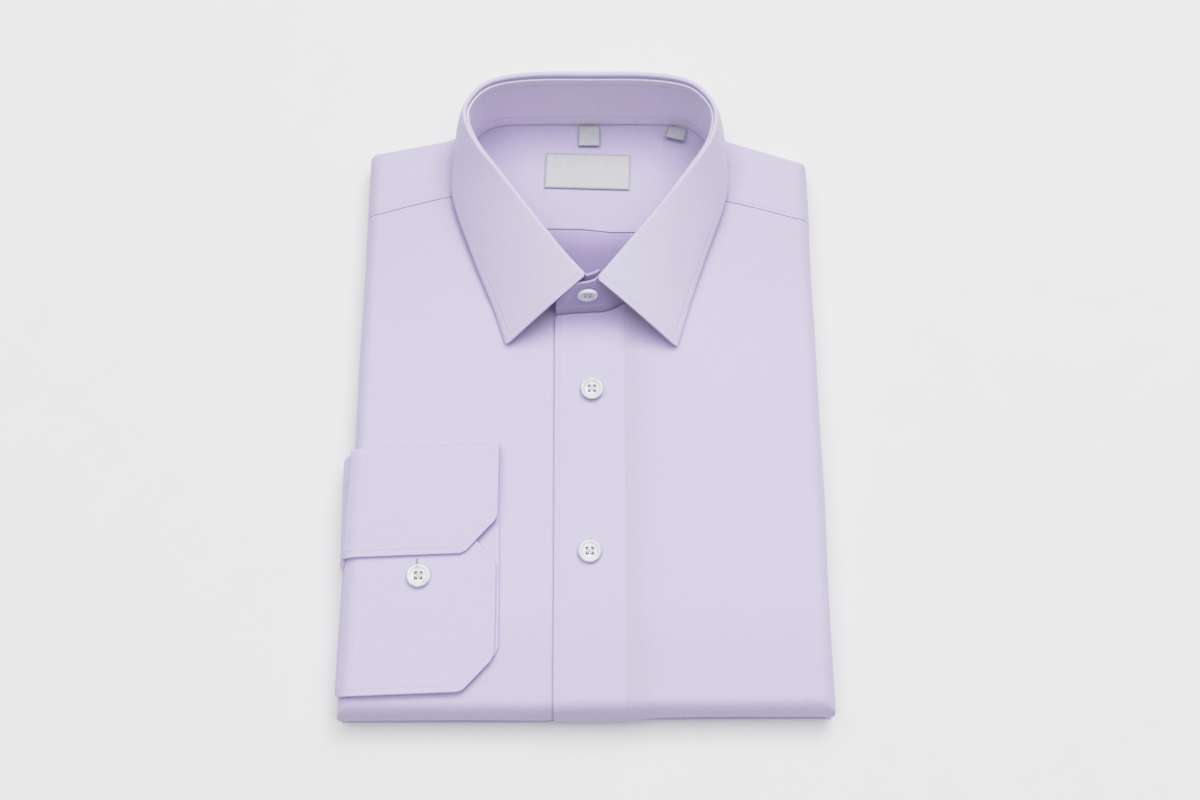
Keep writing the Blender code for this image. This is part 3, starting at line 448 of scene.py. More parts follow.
def body_edge():
    """Matching points all round the body: top outline, widest line, how far the lowest layer stands
    past it, and the row of the corner that the point is on, or -1."""
    wide = [Vector(row[1:3]) for row in EDGE_ROWS]
    top = [Vector(row[4:6]) for row in EDGE_ROWS]
    corners = [corner_pairs(i, wide, top) for i in range(len(EDGE_ROWS))]
    points = []
    for i, pairs in enumerate(corners):
        following = (i + 1) % len(corners)
        here, there = EDGE_ROWS[i][7], EDGE_ROWS[following][7]
        points += [(a, b, here, i) for a, b in pairs]
        (top_start, start), (top_end, end) = pairs[-1], corners[following][0]
        steps = max(1, round((end - start).length / EDGE_STEP))
        for k in range(1, steps):
            t = k / steps
            lowest = here + (there - here) * t
            points.append((top_start.lerp(top_end, t), start.lerp(end, t), lowest, -1))
    return points


EDGE = body_edge()


def edge_at(place):
    """The body's edge at a place between two of its numbered points: the top outline, the step out
    to the widest line, the level direction straight out, and the lowest layer."""
    low = math.floor(place)
    t = place - low
    ends = []
    for i in (low, low + 1):
        top, wide, lowest, _ = EDGE[i % len(EDGE)]
        along = EDGE[(i + 1) % len(EDGE)][1] - EDGE[(i - 1) % len(EDGE)][1]
        ends.append((top, wide - top, Vector((along.y, -along.x)).normalized(), lowest))
    a, b = ends
    straight = a[2].lerp(b[2], t).normalized()
    return a[0].lerp(b[0], t), a[1].lerp(b[1], t), straight, a[3] + (b[3] - a[3]) * t


def edge_place(axis, value, near):
    """The place nearest to the point `near` where the top outline has this x or y."""
    found = []
    for i in range(len(EDGE)):
        a, b = EDGE[i][0], EDGE[(i + 1) % len(EDGE)][0]
        if (a[axis] - value) * (b[axis] - value) <= 0 and a[axis] != b[axis]:
            t = (value - a[axis]) / (b[axis] - a[axis])
            found.append(((a.lerp(b, t) - Vector(near)).length, i + t))
    return min(found)[1]


def edge_span(start, end):
    """Places from start to end, with every numbered point between them."""
    if end < start:
        end += len(EDGE)
    inner = range(math.floor(start) + 1, math.ceil(end))
    return [start] + [i for i in inner if min(i - start, end - i) > PLACES_APART] + [end]


def skin(edge, angle, lift):
    """A point on the body's rounded edge: angle 0 is its top and 90 its widest line."""
    top, step, straight = edge[:3]
    turn = math.radians(angle)
    high = top_height(top.x, top.y)
    upper = (high - WRAP_FOOT) * WIDE_SHARE
    drop = upper if angle <= 90 else high - WRAP_FOOT - upper
    across, up = drop * math.sin(turn), step.dot(straight) * math.cos(turn)
    length = math.hypot(across, up)
    flat = top + step * math.sin(turn) + straight * (lift * across / length)
    return Vector((flat.x, flat.y, high - upper + drop * math.cos(turn) + lift * up / length))


# ---------------------------------------------------------------- cloth meshes

TREE_STEP = 0.5
SHORTEST_PATH = 4           # a path of stitches has more points than this
RIM_ANGLE = 62.0
ROW_SHARE = 0.866           # how far apart the rows of even triangles are, for their step
SEAM_PAST = 6.0             # how far a row of stitches is followed past the end of its seam


def boundary_tree(lines):
    """A search tree of points close together along lines."""
    dense = []
    for line in lines:
        for a, b in zip(line, line[1:]):
            a, b = Vector(a), Vector(b)
            steps = max(1, int((b - a).length / TREE_STEP))
            dense += [a.lerp(b, k / steps) for k in range(steps)]
        dense.append(Vector(line[-1]))
    tree = kdtree.KDTree(len(dense))
    for i, point in enumerate(dense):
        tree.insert(point, i)
    tree.balance()
    return tree


def distance_from_stitches(points, rows):
    """For each point, how far it lies inside the nearest row of stitches. A row of stitches is the
    edge lines that it follows and its distance from them."""
    trees = [(boundary_tree(lines), inset) for lines, inset in rows]
    return [min([FAR_FROM_STITCHES] + [tree.find(p)[2] - inset for tree, inset in trees])
            for p in points]


def stitch_paths(mesh, sewn):
    """Lines on a mesh along which its distance from the stitches is zero, as points and normals."""
    crossings, links = {}, {}
    for face in mesh.polygons:
        met = []
        for a, b in face.edge_keys:
            if (sewn[a] < 0.0) != (sewn[b] < 0.0):
                t = sewn[a] / (sewn[a] - sewn[b])
                place = mesh.vertices[a].co.lerp(mesh.vertices[b].co, t)
                normal = mesh.vertices[a].normal.lerp(mesh.vertices[b].normal, t).normalized()
                crossings[(a, b)] = (place, normal)
                met.append((a, b))
        if len(met) == 2:
            links.setdefault(met[0], []).append(met[1])
            links.setdefault(met[1], []).append(met[0])
    paths, used = [], set()
    for start in sorted(links, key=lambda key: len(links[key])):
        if start in used:
            continue
        path, here = [], start
        while here is not None:
            used.add(here)
            path.append(crossings[here])
            here = next((key for key in links[here] if key not in used), None)
        if len(path) > SHORTEST_PATH:
            paths.append(path)
    return paths


def linked(name, data):
    """A new object of this data, in the scene."""
    item = bpy.data.objects.new(name, data)
    bpy.context.scene.collection.objects.link(item)
    return item


def cloth_mesh(name, points, faces, flat_points, **values):
    """A mesh from points in millimetres, with their flat places and with values of each point."""
    mesh = bpy.data.meshes.new(name)
    mesh.from_pydata([(Vector(p) - MIDDLE) * MM for p in points], [], faces)
    for label, numbers in values.items():
        mesh.attributes.new(label, "FLOAT", "POINT").data.foreach_set("value", numbers)
    layer = mesh.uv_layers.new(name="cloth")
    for loop in mesh.loops:
        u, v = flat_points[loop.vertex_index]
        layer.data[loop.index].uv = (u * CM_PER_MM, v * CM_PER_MM)
    mesh.shade_smooth()
    return mesh


def cloth(name, points, faces, flat_points, wall, offset=-1.0, stitch_rows=(), bevel=0.25,
          painted_shade=None):
    """A thin shell of cloth from an open sheet of points in millimetres. Returns the object and the
    rows of stitches on it, each a list of points and normals in metres."""
    name += "_cloth"
    values = {"sewn": distance_from_stitches([Vector(p) for p in points], stitch_rows)}
    # painted shade of each point, as a share of the darker tone
    if painted_shade:
        values["painted_shade"] = [painted_shade(p[0], p[1]) for p in points]
    mesh = cloth_mesh(name, points, faces, flat_points, **values)
    paths = stitch_paths(mesh, values["sewn"])
    item = linked(name, mesh)
    shell = item.modifiers.new("wall", "SOLIDIFY")
    shell.thickness = wall * MM
    shell.offset = offset
    shell.use_even_offset = True
    round_rim = item.modifiers.new("rim", "BEVEL")
    round_rim.width = bevel * MM
    round_rim.segments = 3
    round_rim.limit_method = "ANGLE"
    round_rim.angle_limit = math.radians(RIM_ANGLE)
    round_rim.harden_normals = False
    return item, paths


def inside_loop(xs, ys, loop):
    """Which of the points lie inside a closed outline."""
    hit = np.zeros(len(xs), dtype=bool)
    for i in range(len(loop)):
        (ax, ay), (bx, by) = loop[i], loop[i - 1]
        if ay != by:
            crosses = (ay > ys) != (by > ys)
            hit ^= crosses & (xs < (bx - ax) * (ys - ay) / (by - ay) + ax)
    return hit


def clearance(xs, ys, loop):
    """How far each point is from a closed outline."""
    best = np.full(len(xs), 1e9)
    for i in range(len(loop)):
        (ax, ay), (bx, by) = loop[i - 1], loop[i]
        dx, dy = bx - ax, by - ay
        t = np.clip(((xs - ax) * dx + (ys - ay) * dy) / max(dx * dx + dy * dy, 1e-9), 0.0, 1.0)
        best = np.minimum(best, np.hypot(ax + dx * t - xs, ay + dy * t - ys))
    return best


def filled_line(a, b, step):
    """Points from a up to but not including b, no further apart than a step."""
    dx, dy = b[0] - a[0], b[1] - a[1]
    count = max(1, round(math.hypot(dx, dy) / step))
    return [(a[0] + dx * k / count, a[1] + dy * k / count) for k in range(count)]


def filled(line, step, closed=False):
    """A line with more points, no further apart than a step."""
    ends = list(zip(line, line[1:] + (line[:1] if closed else [])))
    points = [p for a, b in ends for p in filled_line(a, b, step)]
    return points if closed else points + [line[-1]]


def flat_sheet(loop, step, extra=()):
    """Triangles that fill a level outline, with the outline's own points first. Extra points keep
    their places and the even ones stay clear of them."""
    xs, ys = [p[0] for p in loop], [p[1] for p in loop]
    grid = []
    rows = int((max(ys) - min(ys)) / (step * ROW_SHARE)) + 1
    for row in range(1, rows):
        shift = 0.5 * step * (row % 2)
        for column in range(int((max(xs) - min(xs)) / step) + 1):
            grid.append((min(xs) + shift + column * step, min(ys) + row * step * ROW_SHARE))
    grid = np.array(grid)
    keep = inside_loop(grid[:, 0], grid[:, 1], loop)
    keep &= clearance(grid[:, 0], grid[:, 1], loop) > 0.5 * step
    inner = [Vector(p) for p in extra]
    if inner:
        near = boundary_tree([[(*p, 0.0)] for p in extra])
        keep &= np.array([near.find((x, y, 0.0))[2] > 0.5 * step for x, y in grid])
    points = [Vector(p) for p in loop] + inner + [Vector(p) for p in grid[keep]]
    rim = [(i, (i + 1) % len(loop)) for i in range(len(loop))]
    flat, _, faces, sources, _, _ = delaunay_2d_cdt(points, rim, [], 1, 1e-6)
    order = sorted(range(len(flat)), key=lambda k: min(sources[k]))
    renumber = {old: new for new, old in enumerate(order)}
    turned = []
    for a, b, c in faces:
        if (flat[b] - flat[a]).cross(flat[c] - flat[a]) < 0:
            b, c = c, b
        turned.append((renumber[a], renumber[b], renumber[c]))
    return [tuple(flat[k]) for k in order], turned


def skin_sheet(name, span, inner, lift, painted_shade, raised=None, seams=(), seam_inset=0.0):
    """A panel on top of the body that wraps down round its edge along the span of places. Its seams
    are stitched: each is the end of the span where it starts, and its points in plan from there."""
    edges = [edge_at(place) for place in span]
    inner = filled(inner, SHEET_STEP)
    loop = [tuple(edge[0]) for edge in edges] + inner
    flat, faces = flat_sheet(loop, SHEET_STEP)
    rise = raised or (lambda x, y: 0.0)

    def height(x, y):
        return top_height(x, y) + lift + rise(x, y) + creased(FRONT_CREASES, x, y)

    def wrapped(edge, angle):
        turned = ease(angle / WRAP_FADE)
        settle = 1.0 - SETTLE * turned
        extra = creased(FRONT_CREASES, *edge[0]) * (1.0 - turned) + side_crease(edge[0], angle)
        return tuple(skin(edge, angle, (lift + rise(*edge[0])) * settle + extra))

    points = [(x, y, height(x, y)) for x, y in flat]
    laid = list(flat)
    angles = [WRAP_END * step / WRAP_STEPS for step in range(1, WRAP_STEPS + 1)]
    ring = list(range(len(edges)))
    for angle in angles:
        following = list(range(len(points), len(points) + len(edges)))
        for edge in edges:
            points.append(wrapped(edge, angle))
            down = edge[2] * (angle * WRAP_LAID)
            laid.append((edge[0].x + down.x, edge[0].y + down.y))
        for i in range(len(ring) - 1):
            faces.append((ring[i + 1], ring[i], following[i], following[i + 1]))
        ring = following
    rows = []
    for end, plan in seams:
        edge = edges[0] if end == "start" else edges[-1]
        line = [tuple(edge[0])] + list(plan)
        last = Vector(line[-1])
        beyond = last + (last - Vector(line[-2])).normalized() * SEAM_PAST
        over = [(x, y, height(x, y)) for x, y in filled(line + [tuple(beyond)], 1.0)]
        rows.append(([[wrapped(edge, angle) for angle in angles[::-1]] + over], seam_inset))
    return cloth(name, points, faces, laid, PANEL_CLOTH, stitch_rows=rows, bevel=0.12,
                 painted_shade=painted_shade)


def grid_faces(rows, columns):
    return [(r * columns + c, r * columns + c + 1, (r + 1) * columns + c + 1, (r + 1) * columns + c)
            for r in range(rows - 1) for c in range(columns - 1)]


def grid_lengths(points, rows, columns):
    """Flat coordinates of a grid of points: its length along the rows and across each of them."""
    middle = columns // 2
    along = [0.0]
    for r in range(1, rows):
        a, b = Vector(points[(r - 1) * columns + middle]), Vector(points[r * columns + middle])
        along.append(along[-1] + (b - a).length)
    flat = []
    for r in range(rows):
        across = 0.0
        for c in range(columns):
            if c:
                here = r * columns + c
                across += (Vector(points[here]) - Vector(points[here - 1])).length
            flat.append((along[r], across))
    return flat


# ---------------------------------------------------------------- the collar's curves

def half_rows(side):
    """Rows of one side of the collar, from the middle of the back: left is -1 and right is 1."""
    rows = []
    for a, seam, seam_y, b, top, top_y, top_z, c, edge, edge_y, edge_z, roll in HALF_RING:
        rows.append((a + side * seam, seam_y, b + side * top, top_y, top_z,
                     c + side * edge, edge_y, edge_z, roll, 0.0))
    return rows


def leaf_rows():
    """Sections of the whole leaf, from its left point round the back to its right point."""
    left, right = half_rows(-1), half_rows(1)
    return through([LEFT_POINT] + left[:0:-1] + right + [RIGHT_POINT], RING_STEPS)


def stand_rows():
    """Sections of the stand: seam x, y, top x, y, z, and the height of its foot over the skin."""
    left, right = half_rows(-1), half_rows(1)
    rows = list(UNDER_LAP[::-1]) + [LEFT_POINT] + left[:0:-1] + right
    rows = [row[:5] + (STAND_BELOW,) for row in rows]
    rows += [row[:5] + (LAP_ABOVE,) for row in [RIGHT_POINT] + list(OVER_LAP)]
    return through(rows, RING_STEPS)


LEAF_ROWS = leaf_rows()
NECK_PATH = [row[:2] for row in LEAF_ROWS]
NECK_CLEAR = STAND_CLOTH / 2 + SEAM_GAP


def neck_line(distance, low_left, low_right):
    """The neck seam moved out, between the heights in y at which it starts and ends."""
    path = moved_out(NECK_PATH, distance)
    middle = len(path) // 2
    left = [p for p in path[:middle] if p[1] > low_left + 1.0]
    right = [p for p in path[middle:] if p[1] > low_right + 1.0]
    return left + right


def neck_x(distance, y, side):
    """Where the neck seam, moved out, crosses this y on the left (-1) or right (1)."""
    path = moved_out(NECK_PATH, distance)
    middle = len(path) // 2
    half = path[:middle + 1] if side < 0 else path[middle:]
    for a, b in zip(half, half[1:]):
        if (a[1] - y) * (b[1] - y) <= 0 and a[1] != b[1]:
            return a[0] + (b[0] - a[0]) * (y - a[1]) / (b[1] - a[1])
    raise ValueError("the neck seam doesn't reach this y")


# ---------------------------------------------------------------- panels of the body

def yoke_seam(x):
    """Height in plan of the shoulder seams, which fall away from the neck."""
    base = YOKE_SEAM_LEFT if x < 0 else YOKE_SEAM_RIGHT
    out = max(0.0, abs(x) - YOKE_SEAM_X)
    return base - YOKE_SEAM_SLOPE * out * out / (out + YOKE_SEAM_LEVEL)


def seam_line(side, shift):
    """The shoulder seam in plan, from the neck outwards, moved along y."""
    start = neck_x(NECK_CLEAR, yoke_seam(side * YOKE_SEAM_X) + shift, side)
    shares = (0.0, 0.12, 0.25, 0.37, 0.5, 0.62, 0.75, 0.87)
    xs = [start + (side * TOP_X - start) * t for t in shares]
    return [(x, yoke_seam(x) + shift) for x in xs]


def seam_place(side, shift):
    """Where the shoulder seam, moved along y, meets the body's edge."""
    return edge_place(1, yoke_seam(side * TOP_X) + shift, (side * TOP_X, 100.0))


def hem_place(x):
    return edge_place(0, x, (x, -150.0))


def front_rise(x, y):
    return FRONT_LIFT * (1.0 - ease((x - OVER_FRONT_EDGE) / FRONT_LIFT_RUN))


def foot_painted_shade(x, y):
    """Painted shade on the fronts towards their lower edge and on the rounded edge itself, where
    less light falls.
    """
    foot = FOOT_TONE * ease((FOOT_TONE_Y - y) / FOOT_TONE_RUN)
    return foot + HEM_TONE * ease((HEM_TONE_Y - y) / HEM_TONE_RUN)


def front_painted_shade(x, y):
    """The same painted shade, with more beside the placket and towards the shoulders."""
    by_placket = bell((x - OVER_FRONT_EDGE) / BESIDE_PLACKET) if x > 0 else 0.0
    chest = CHEST_TONE * ease((y - CHEST_TONE_Y) / CHEST_TONE_RUN)
    return min(1.0, by_placket + chest + foot_painted_shade(x, y))


def make_front_right():
    """The wearer's right front, on the left, which runs on under the placket."""
    shift = -SEAM_GAP / 2
    seam = seam_line(-1, shift)
    neck = [p for p in neck_line(NECK_CLEAR, 0.0, 200.0) if p[1] < seam[0][1] - 2.0]
    rim = [(UNDER_FRONT_EDGE, y) for y in (-100.0, -50.0, 0.0, 41.0)] + [(2.0, 41.2)]
    span = edge_span(seam_place(-1, shift), hem_place(UNDER_FRONT_EDGE))
    return skin_sheet("front_right", span, rim + neck + seam, 0.0, front_painted_shade)


def make_front_left():
    """The wearer's left front, on the right, whose edge is under the placket."""
    shift = -SEAM_GAP / 2
    seam = seam_line(1, shift)
    neck = [p for p in neck_line(NECK_CLEAR, 200.0, 0.0)
            if p[1] < seam[0][1] - 2.0 and p[0] > OVER_FRONT_EDGE + 1.0]
    rim = [(OVER_FRONT_EDGE, y) for y in (43.5, 0.0, -50.0, -100.0)]
    span = edge_span(hem_place(OVER_FRONT_EDGE), seam_place(1, shift))
    return skin_sheet("front_left", span, seam[::-1] + neck + rim, 0.0, front_painted_shade,
                      raised=front_rise)


def make_placket():
    over = moved_out([row[:2] for row in stand_rows()], NECK_CLEAR)[-3 * RING_STEPS - 1:]
    over = [p for p in over if PLACKET_LEFT_TOP + 1.0 < p[0] < PLACKET_RIGHT - 1.0]
    up = [(PLACKET_RIGHT, y) for y in (-120.0, -90.0, -60.0, -30.0, 0.0, 25.0, 43.0)]
    lean = (PLACKET_LEFT_FOOT - PLACKET_LEFT_TOP) / PLACKET_LONG
    down = [(PLACKET_LEFT_TOP + lean * (PLACKET_TOP_Y - y), y)
            for y in (PLACKET_TOP_Y, 10.0, -20.0, -50.0, -80.0, -110.0)]
    span = edge_span(hem_place(PLACKET_LEFT_FOOT), hem_place(PLACKET_RIGHT))
    return skin_sheet("front_placket", span, up + over + down, PLACKET_LIFT, foot_painted_shade,
                      seams=[("start", down[::-1])], seam_inset=PLACKET_STITCH)


def make_yoke():
    shift = SEAM_GAP / 2
    left_seam, right_seam = seam_line(-1, shift), seam_line(1, shift)
    neck = neck_line(NECK_CLEAR, left_seam[0][1], right_seam[0][1])
    span = edge_span(seam_place(1, shift), seam_place(-1, shift))
    # painted shade on the whole yoke
    return skin_sheet("yoke", span, left_seam[::-1] + neck + right_seam, 0.0,
                      lambda x, y: YOKE_TONE, seam_inset=YOKE_STITCH,
                      seams=[("start", right_seam[::-1]), ("end", left_seam[::-1])])


def inside_seam(shift):
    """The seam of the lining yoke, from left to right, moved along y."""
    left = neck_x(INSIDE_REACH, INSIDE_SEAM_Y + shift, -1)
    right = neck_x(INSIDE_REACH, INSIDE_SEAM_Y - INSIDE_SEAM_DROP + shift, 1)
    line = []
    for k in range(25):
        x = left + (right - left) * k / 24
        line.append((x, INSIDE_SEAM_Y + shift - INSIDE_SEAM_DROP * ease((x + 7.0) / 22.0)))
    return line


def inside_sheet(name, loop, painted_shade):
    """A level panel inside the neck."""
    flat, faces = flat_sheet(filled(loop, INSIDE_STEP, closed=True), INSIDE_STEP)
    points = [(x, y, inside_height(x, y) + creased(INSIDE_CREASES, x, y)) for x, y in flat]
    return cloth(name, points, faces, flat, INNER_CLOTH, painted_shade=painted_shade)


def make_inside():
    """The inner yoke, and the strip of back under it, that show through the neck."""
    high, low = inside_seam(SEAM_GAP / 2), inside_seam(-SEAM_GAP / 2)
    upper = neck_line(INSIDE_REACH, high[0][1], high[-1][1])
    # painted shade on the inner yoke
    yoke = inside_sheet("inner_yoke", high + upper[::-1], lambda x, y: INNER_YOKE_TONE)
    path = moved_out(NECK_PATH, INSIDE_REACH)
    middle = len(path) // 2
    down = [p for p in path[:middle] if BACK_INSIDE_END < p[1] < low[0][1] - 1.0]
    up = [p for p in path[middle:] if BACK_INSIDE_END < p[1] < low[-1][1] - 1.0]
    # painted shade: the back panel's cloth is darker, and darker still towards the front of the
    # neck
    back = inside_sheet("back_panel", low[::-1] + down[::-1] + up[::-1],
                        lambda x, y: ease((BACK_TONE_Y - y) / BACK_TONE_RUN))
    return yoke, back


# ---------------------------------------------------------------- the collar

def stand_painted_shade(x, y):
    """Painted shade on the stand, which grows towards its front under the collar's points."""
    return 1.0 - ease((y - STAND_TONE_Y) / STAND_TONE_RUN)


def make_stand():
    rows = stand_rows()
    tops = [(row[2], row[3]) for row in rows]
    points = []
    for i, (seam_x, seam_y, top_x, top_y, top_z, above) in enumerate(rows):
        foot = Vector((seam_x, seam_y, top_height(seam_x, seam_y) + above))
        head = Vector((top_x, top_y, top_z))
        side = outward(tops, i)
        for k in range(STAND_ROWS + 1):
            t = k / STAND_ROWS
            bow = STAND_BOW * math.sin(math.pi * t)
            points.append(tuple(foot.lerp(head, t) + Vector((side.x, side.y, 0)) * bow))
    columns = STAND_ROWS + 1
    flat = grid_lengths(points, len(rows), columns)
    feet = [points[i * columns] for i in range(len(rows))]
    heads = [points[i * columns + STAND_ROWS] for i in range(len(rows))]
    stitch_rows = [([heads], STAND_TOP_STITCH)] + [([feet], up) for up in STAND_FOOT_STITCHES]
    return cloth("collar_stand", points, grid_faces(len(rows), columns), flat, STAND_CLOTH, 0.0,
                 stitch_rows=stitch_rows, bevel=0.35, painted_shade=stand_painted_shade)


def leaf_section(row, side):
    """One section of the leaf: up from the stand, over the fold and down to its free edge."""
    head, edge = Vector(row[2:5]), Vector(row[5:8])
    roll, lead = row[8:10]
    out = Vector((side.x, side.y, 0.0))
    ahead = Vector((-side.y, side.x, 0.0)) * lead * (1.0 if head.x < NECK_MIDDLE[0] else -1.0)
    roll *= ROLL_SHARE
    rise = ROLL_RISE + ROLL_RISE_SHARE * roll
    centre = head + out * (roll + ROLL_BEHIND) + Vector((0, 0, rise))
    reach = edge - centre
    level = max(reach.dot(out), LEAST_REACH)
    last = math.degrees(math.atan2(level, reach.z)) - ROLL_SHORT
    points = [head + out * ROLL_BEHIND + Vector((0, 0, ROLL_FOOT))]
    for k in range(ROLL_STEPS + 1):
        turn = math.radians(ROLL_START + (last - ROLL_START) * k / ROLL_STEPS)
        arch = out * (-roll * math.cos(turn)) + Vector((0, 0, roll * math.sin(turn)))
        points.append(centre + arch + ahead * k / ROLL_STEPS)
    start = points[-1]
    along = (edge - start).normalized()
    lean = out - along * out.dot(along) + Vector((0, 0, LEAF_LEAN))
    middle = (start + edge) / 2 + lean.normalized() * 2 * LEAF_BULGE
    for k in range(1, LEAF_STEPS + 1):
        t = k / LEAF_STEPS
        points.append(start * (1 - t) ** 2 + middle * 2 * t * (1 - t) + edge * t * t)
    return points


def round_corner(points, corner, first, second, radius):
    """Rounds the corner of a sheet between its edges that run to the first and second points."""
    one, two = (first - corner).normalized(), (second - corner).normalized()
    skew = one.dot(two)
    for i, point in enumerate(points):
        v = point - corner
        if v.length > 3.0 * radius:
            continue
        a = (v.dot(one) - skew * v.dot(two)) / (1.0 - skew * skew)
        b = (v.dot(two) - skew * v.dot(one)) / (1.0 - skew * skew)
        if -0.01 <= a < radius and -0.01 <= b < radius:
            p, q = 1.0 - a / radius, 1.0 - b / radius
            far_a = radius * (1.0 - p * math.sqrt(1.0 - q * q / 2.0))
            far_b = radius * (1.0 - q * math.sqrt(1.0 - p * p / 2.0))
            points[i] = point + one * (far_a - a) + two * (far_b - b)


def make_leaf():
    tops = [row[2:4] for row in LEAF_ROWS]
    points = []
    for i, row in enumerate(LEAF_ROWS):
        points += leaf_section(row, outward(tops, i))
    count = len(LEAF_ROWS)
    columns = len(points) // count
    last = (count - 1) * columns
    tips = (
        # corner, a point up its front edge, a point along its lower edge
        (columns - 1, columns - 4, 4 * columns - 1),
        (last + columns - 1, last + columns - 4, last - 2 * columns - 1),
    )
    for tip, along_front, along_edge in tips:
        round_corner(points, points[tip].copy(), points[along_front].copy(),
                     points[along_edge].copy(), LEAF_CORNER)
    flat = grid_lengths(points, count, columns)
    root = ROLL_STEPS + 1
    edges = [
        [points[i * columns + columns - 1] for i in range(count)],
        points[root:columns],
        points[last + root:last + columns],
    ]
    return cloth("collar_leaf", points, grid_faces(count, columns), flat, COLLAR_CLOTH, 0.0,
                 stitch_rows=[(edges, LEAF_STITCH)], bevel=0.45)


# ---------------------------------------------------------------- the layers inside

def ring_faces(rings):
    faces = []
    for low, high in zip(rings, rings[1:]):
        for i in range(len(low)):
            j = (i + 1) % len(low)
            faces.append((low[i], low[j], high[j], high[i]))
    return faces


def well_point(place):
    """The rim of the hollow inside the neck, on the line from its middle to this place."""
    middle = Vector(NECK_MIDDLE)
    target = EDGE[place][0]
    loop = moved_out(NECK_PATH, NECK_CLEAR + WELL_OUT)
    for a, b in zip(loop, loop[1:] + loop[:1]):
        a, b = Vector(a), Vector(b)
        ray, wall = target - middle, b - a
        cross = ray.cross(wall)
        if abs(cross) < 1e-9:
            continue
        t = (a - middle).cross(wall) / cross
        s = (a - middle).cross(ray) / cross
        if t > 0 and -1e-6 <= s <= 1 + 1e-6:
            return middle + ray * t
    raise ValueError("the line misses the neck")


def stepped_in(i, straight, inward):
    """A point of the body's widest line moved in. A corner keeps its form, but less round."""
    wide, corner = EDGE[i][1], EDGE[i][3]
    if corner >= 0:
        sharp = Vector(EDGE_ROWS[corner][1:3])
        one = (Vector(EDGE_ROWS[corner - 1][1:3]) - sharp).normalized()
        two = (Vector(EDGE_ROWS[(corner + 1) % len(EDGE_ROWS)][1:3]) - sharp).normalized()
        half = one.angle(two) / 2
        radius = EDGE_ROWS[corner][3] * math.tan(half)
        if inward > SHARP_FROM * radius:
            mitre = (one + two).normalized() * (inward / math.sin(half))
            return sharp + mitre + (wide - sharp) * max(SHARP_SHARE, 1.0 - inward / radius)
    return wide - straight * inward


def fold_side(fold, x, y):
    """How far a place is to the left of the edge of a fold, looking along it."""
    _, ax, ay, bx, by, _, _ = fold
    return ((bx - ax) * (y - ay) - (by - ay) * (x - ax)) / math.hypot(bx - ax, by - ay)


def under_height(x, y):
    """Height of the underside: flat where it rests, with the flaps' edges and pressed creases."""
    above_tail = ease(fold_side(UNDER_FOLDS[2], x, y) / FLAP_EDGE)
    total = 0.0
    for fold in UNDER_FOLDS:
        away = fold_side(fold, x, y)
        share = 1.0 if fold[0] == "tail" else above_tail
        fade = bell(max(away, 0.0) / fold[6])
        total += share * fold[5] * ease((away + FLAP_EDGE) / (2 * FLAP_EDGE)) * fade
    return max(0.0, total + creased(UNDER_CREASES, x, y))


def under_lines():
    """Points close to both sides of each flap's edge, so that the step there is crisp."""
    lines = []
    for _, ax, ay, bx, by, _, _ in UNDER_FOLDS:
        for side in (-1.5, -0.5, 0.5, 1.5):
            lines.append(filled(moved_out([(ax, ay), (bx, by)], side * FLAP_EDGE), FLAP_STEP))
    return lines


def make_folded_layers():
    """The back, tails and sleeves folded away inside: one solid, layered where its edge shows."""
    edges = [edge_at(i) for i in range(len(EDGE))]
    count = len(edges)
    rims = [well_point(i) for i in range(count)]
    middle = Vector(NECK_MIDDLE)
    points, rings = [], []

    def add_ring(ring):
        rings.append(list(range(len(points), len(points) + count)))
        points.extend(ring)

    for height, inset in LAYER_ROWS:
        ring = []
        for i, (_, _, straight, lowest) in enumerate(edges):
            turn = 2 * math.pi * i / count
            uneven = sum(deep * math.sin(waves * turn + shift * height)
                         for deep, waves, shift in LAYER_WAVES) * ease(height / 3.0)
            flat = stepped_in(i, straight, inset + max(uneven, LEAST_WAVE) - lowest)
            ring.append((flat.x, flat.y, height))
        add_ring(ring)
    for height in (LAYER_ROWS[-1][0] + LIP_FOOT, WRAP_FOOT + LIP_TOP):
        add_ring([(*(edge[0] - edge[2] * LIP_IN), height) for edge in edges])
    for angle in (150, 120, 90, 60, 30):
        add_ring([tuple(skin(edge, angle, -min(SKIRT_DEPTH, SKIRT_SHARE * edge[1].dot(edge[2]))))
                  for edge in edges])
    for t in (0.0, 0.35, 0.7, 1.0):
        flats = [edge[0].lerp(rim, t) for edge, rim in zip(edges, rims)]
        add_ring([(p.x, p.y, top_height(p.x, p.y) - STACK_DEPTH) for p in flats])
    for t in (1.0, 0.5):
        flats = [middle.lerp(rim, t) for rim in rims]
        add_ring([(p.x, p.y, inside_height(p.x, p.y) - INNER_CLOTH - WELL_BELOW) for p in flats])
    faces = ring_faces(rings)
    outline = [(points[i][0], points[i][1]) for i in rings[0]]
    lines = np.array([p for line in under_lines() for p in line])
    kept = lines[inside_loop(lines[:, 0], lines[:, 1], outline)].tolist()
    flat, under_faces = flat_sheet(outline, UNDER_STEP, kept)
    start = len(points)
    points += [(x, y, under_height(x, y)) for x, y in flat[count:]]
    number = rings[0] + list(range(start, len(points)))
    faces += [(number[c], number[b], number[a]) for a, b, c in under_faces]
    well = len(points)
    points.append((*middle, inside_height(*middle) - INNER_CLOTH - WELL_BELOW))
    for i in range(count):
        faces.append((rings[-1][i], rings[-1][(i + 1) % count], well))
    name = "folded_layers_cloth"
    laid = [(x, y + z) for x, y, z in points]
    far = [FAR_FROM_STITCHES] * len(points)
    return linked(name, cloth_mesh(name, points, faces, laid, sewn=far))


# ---------------------------------------------------------------- cuff and sleeve

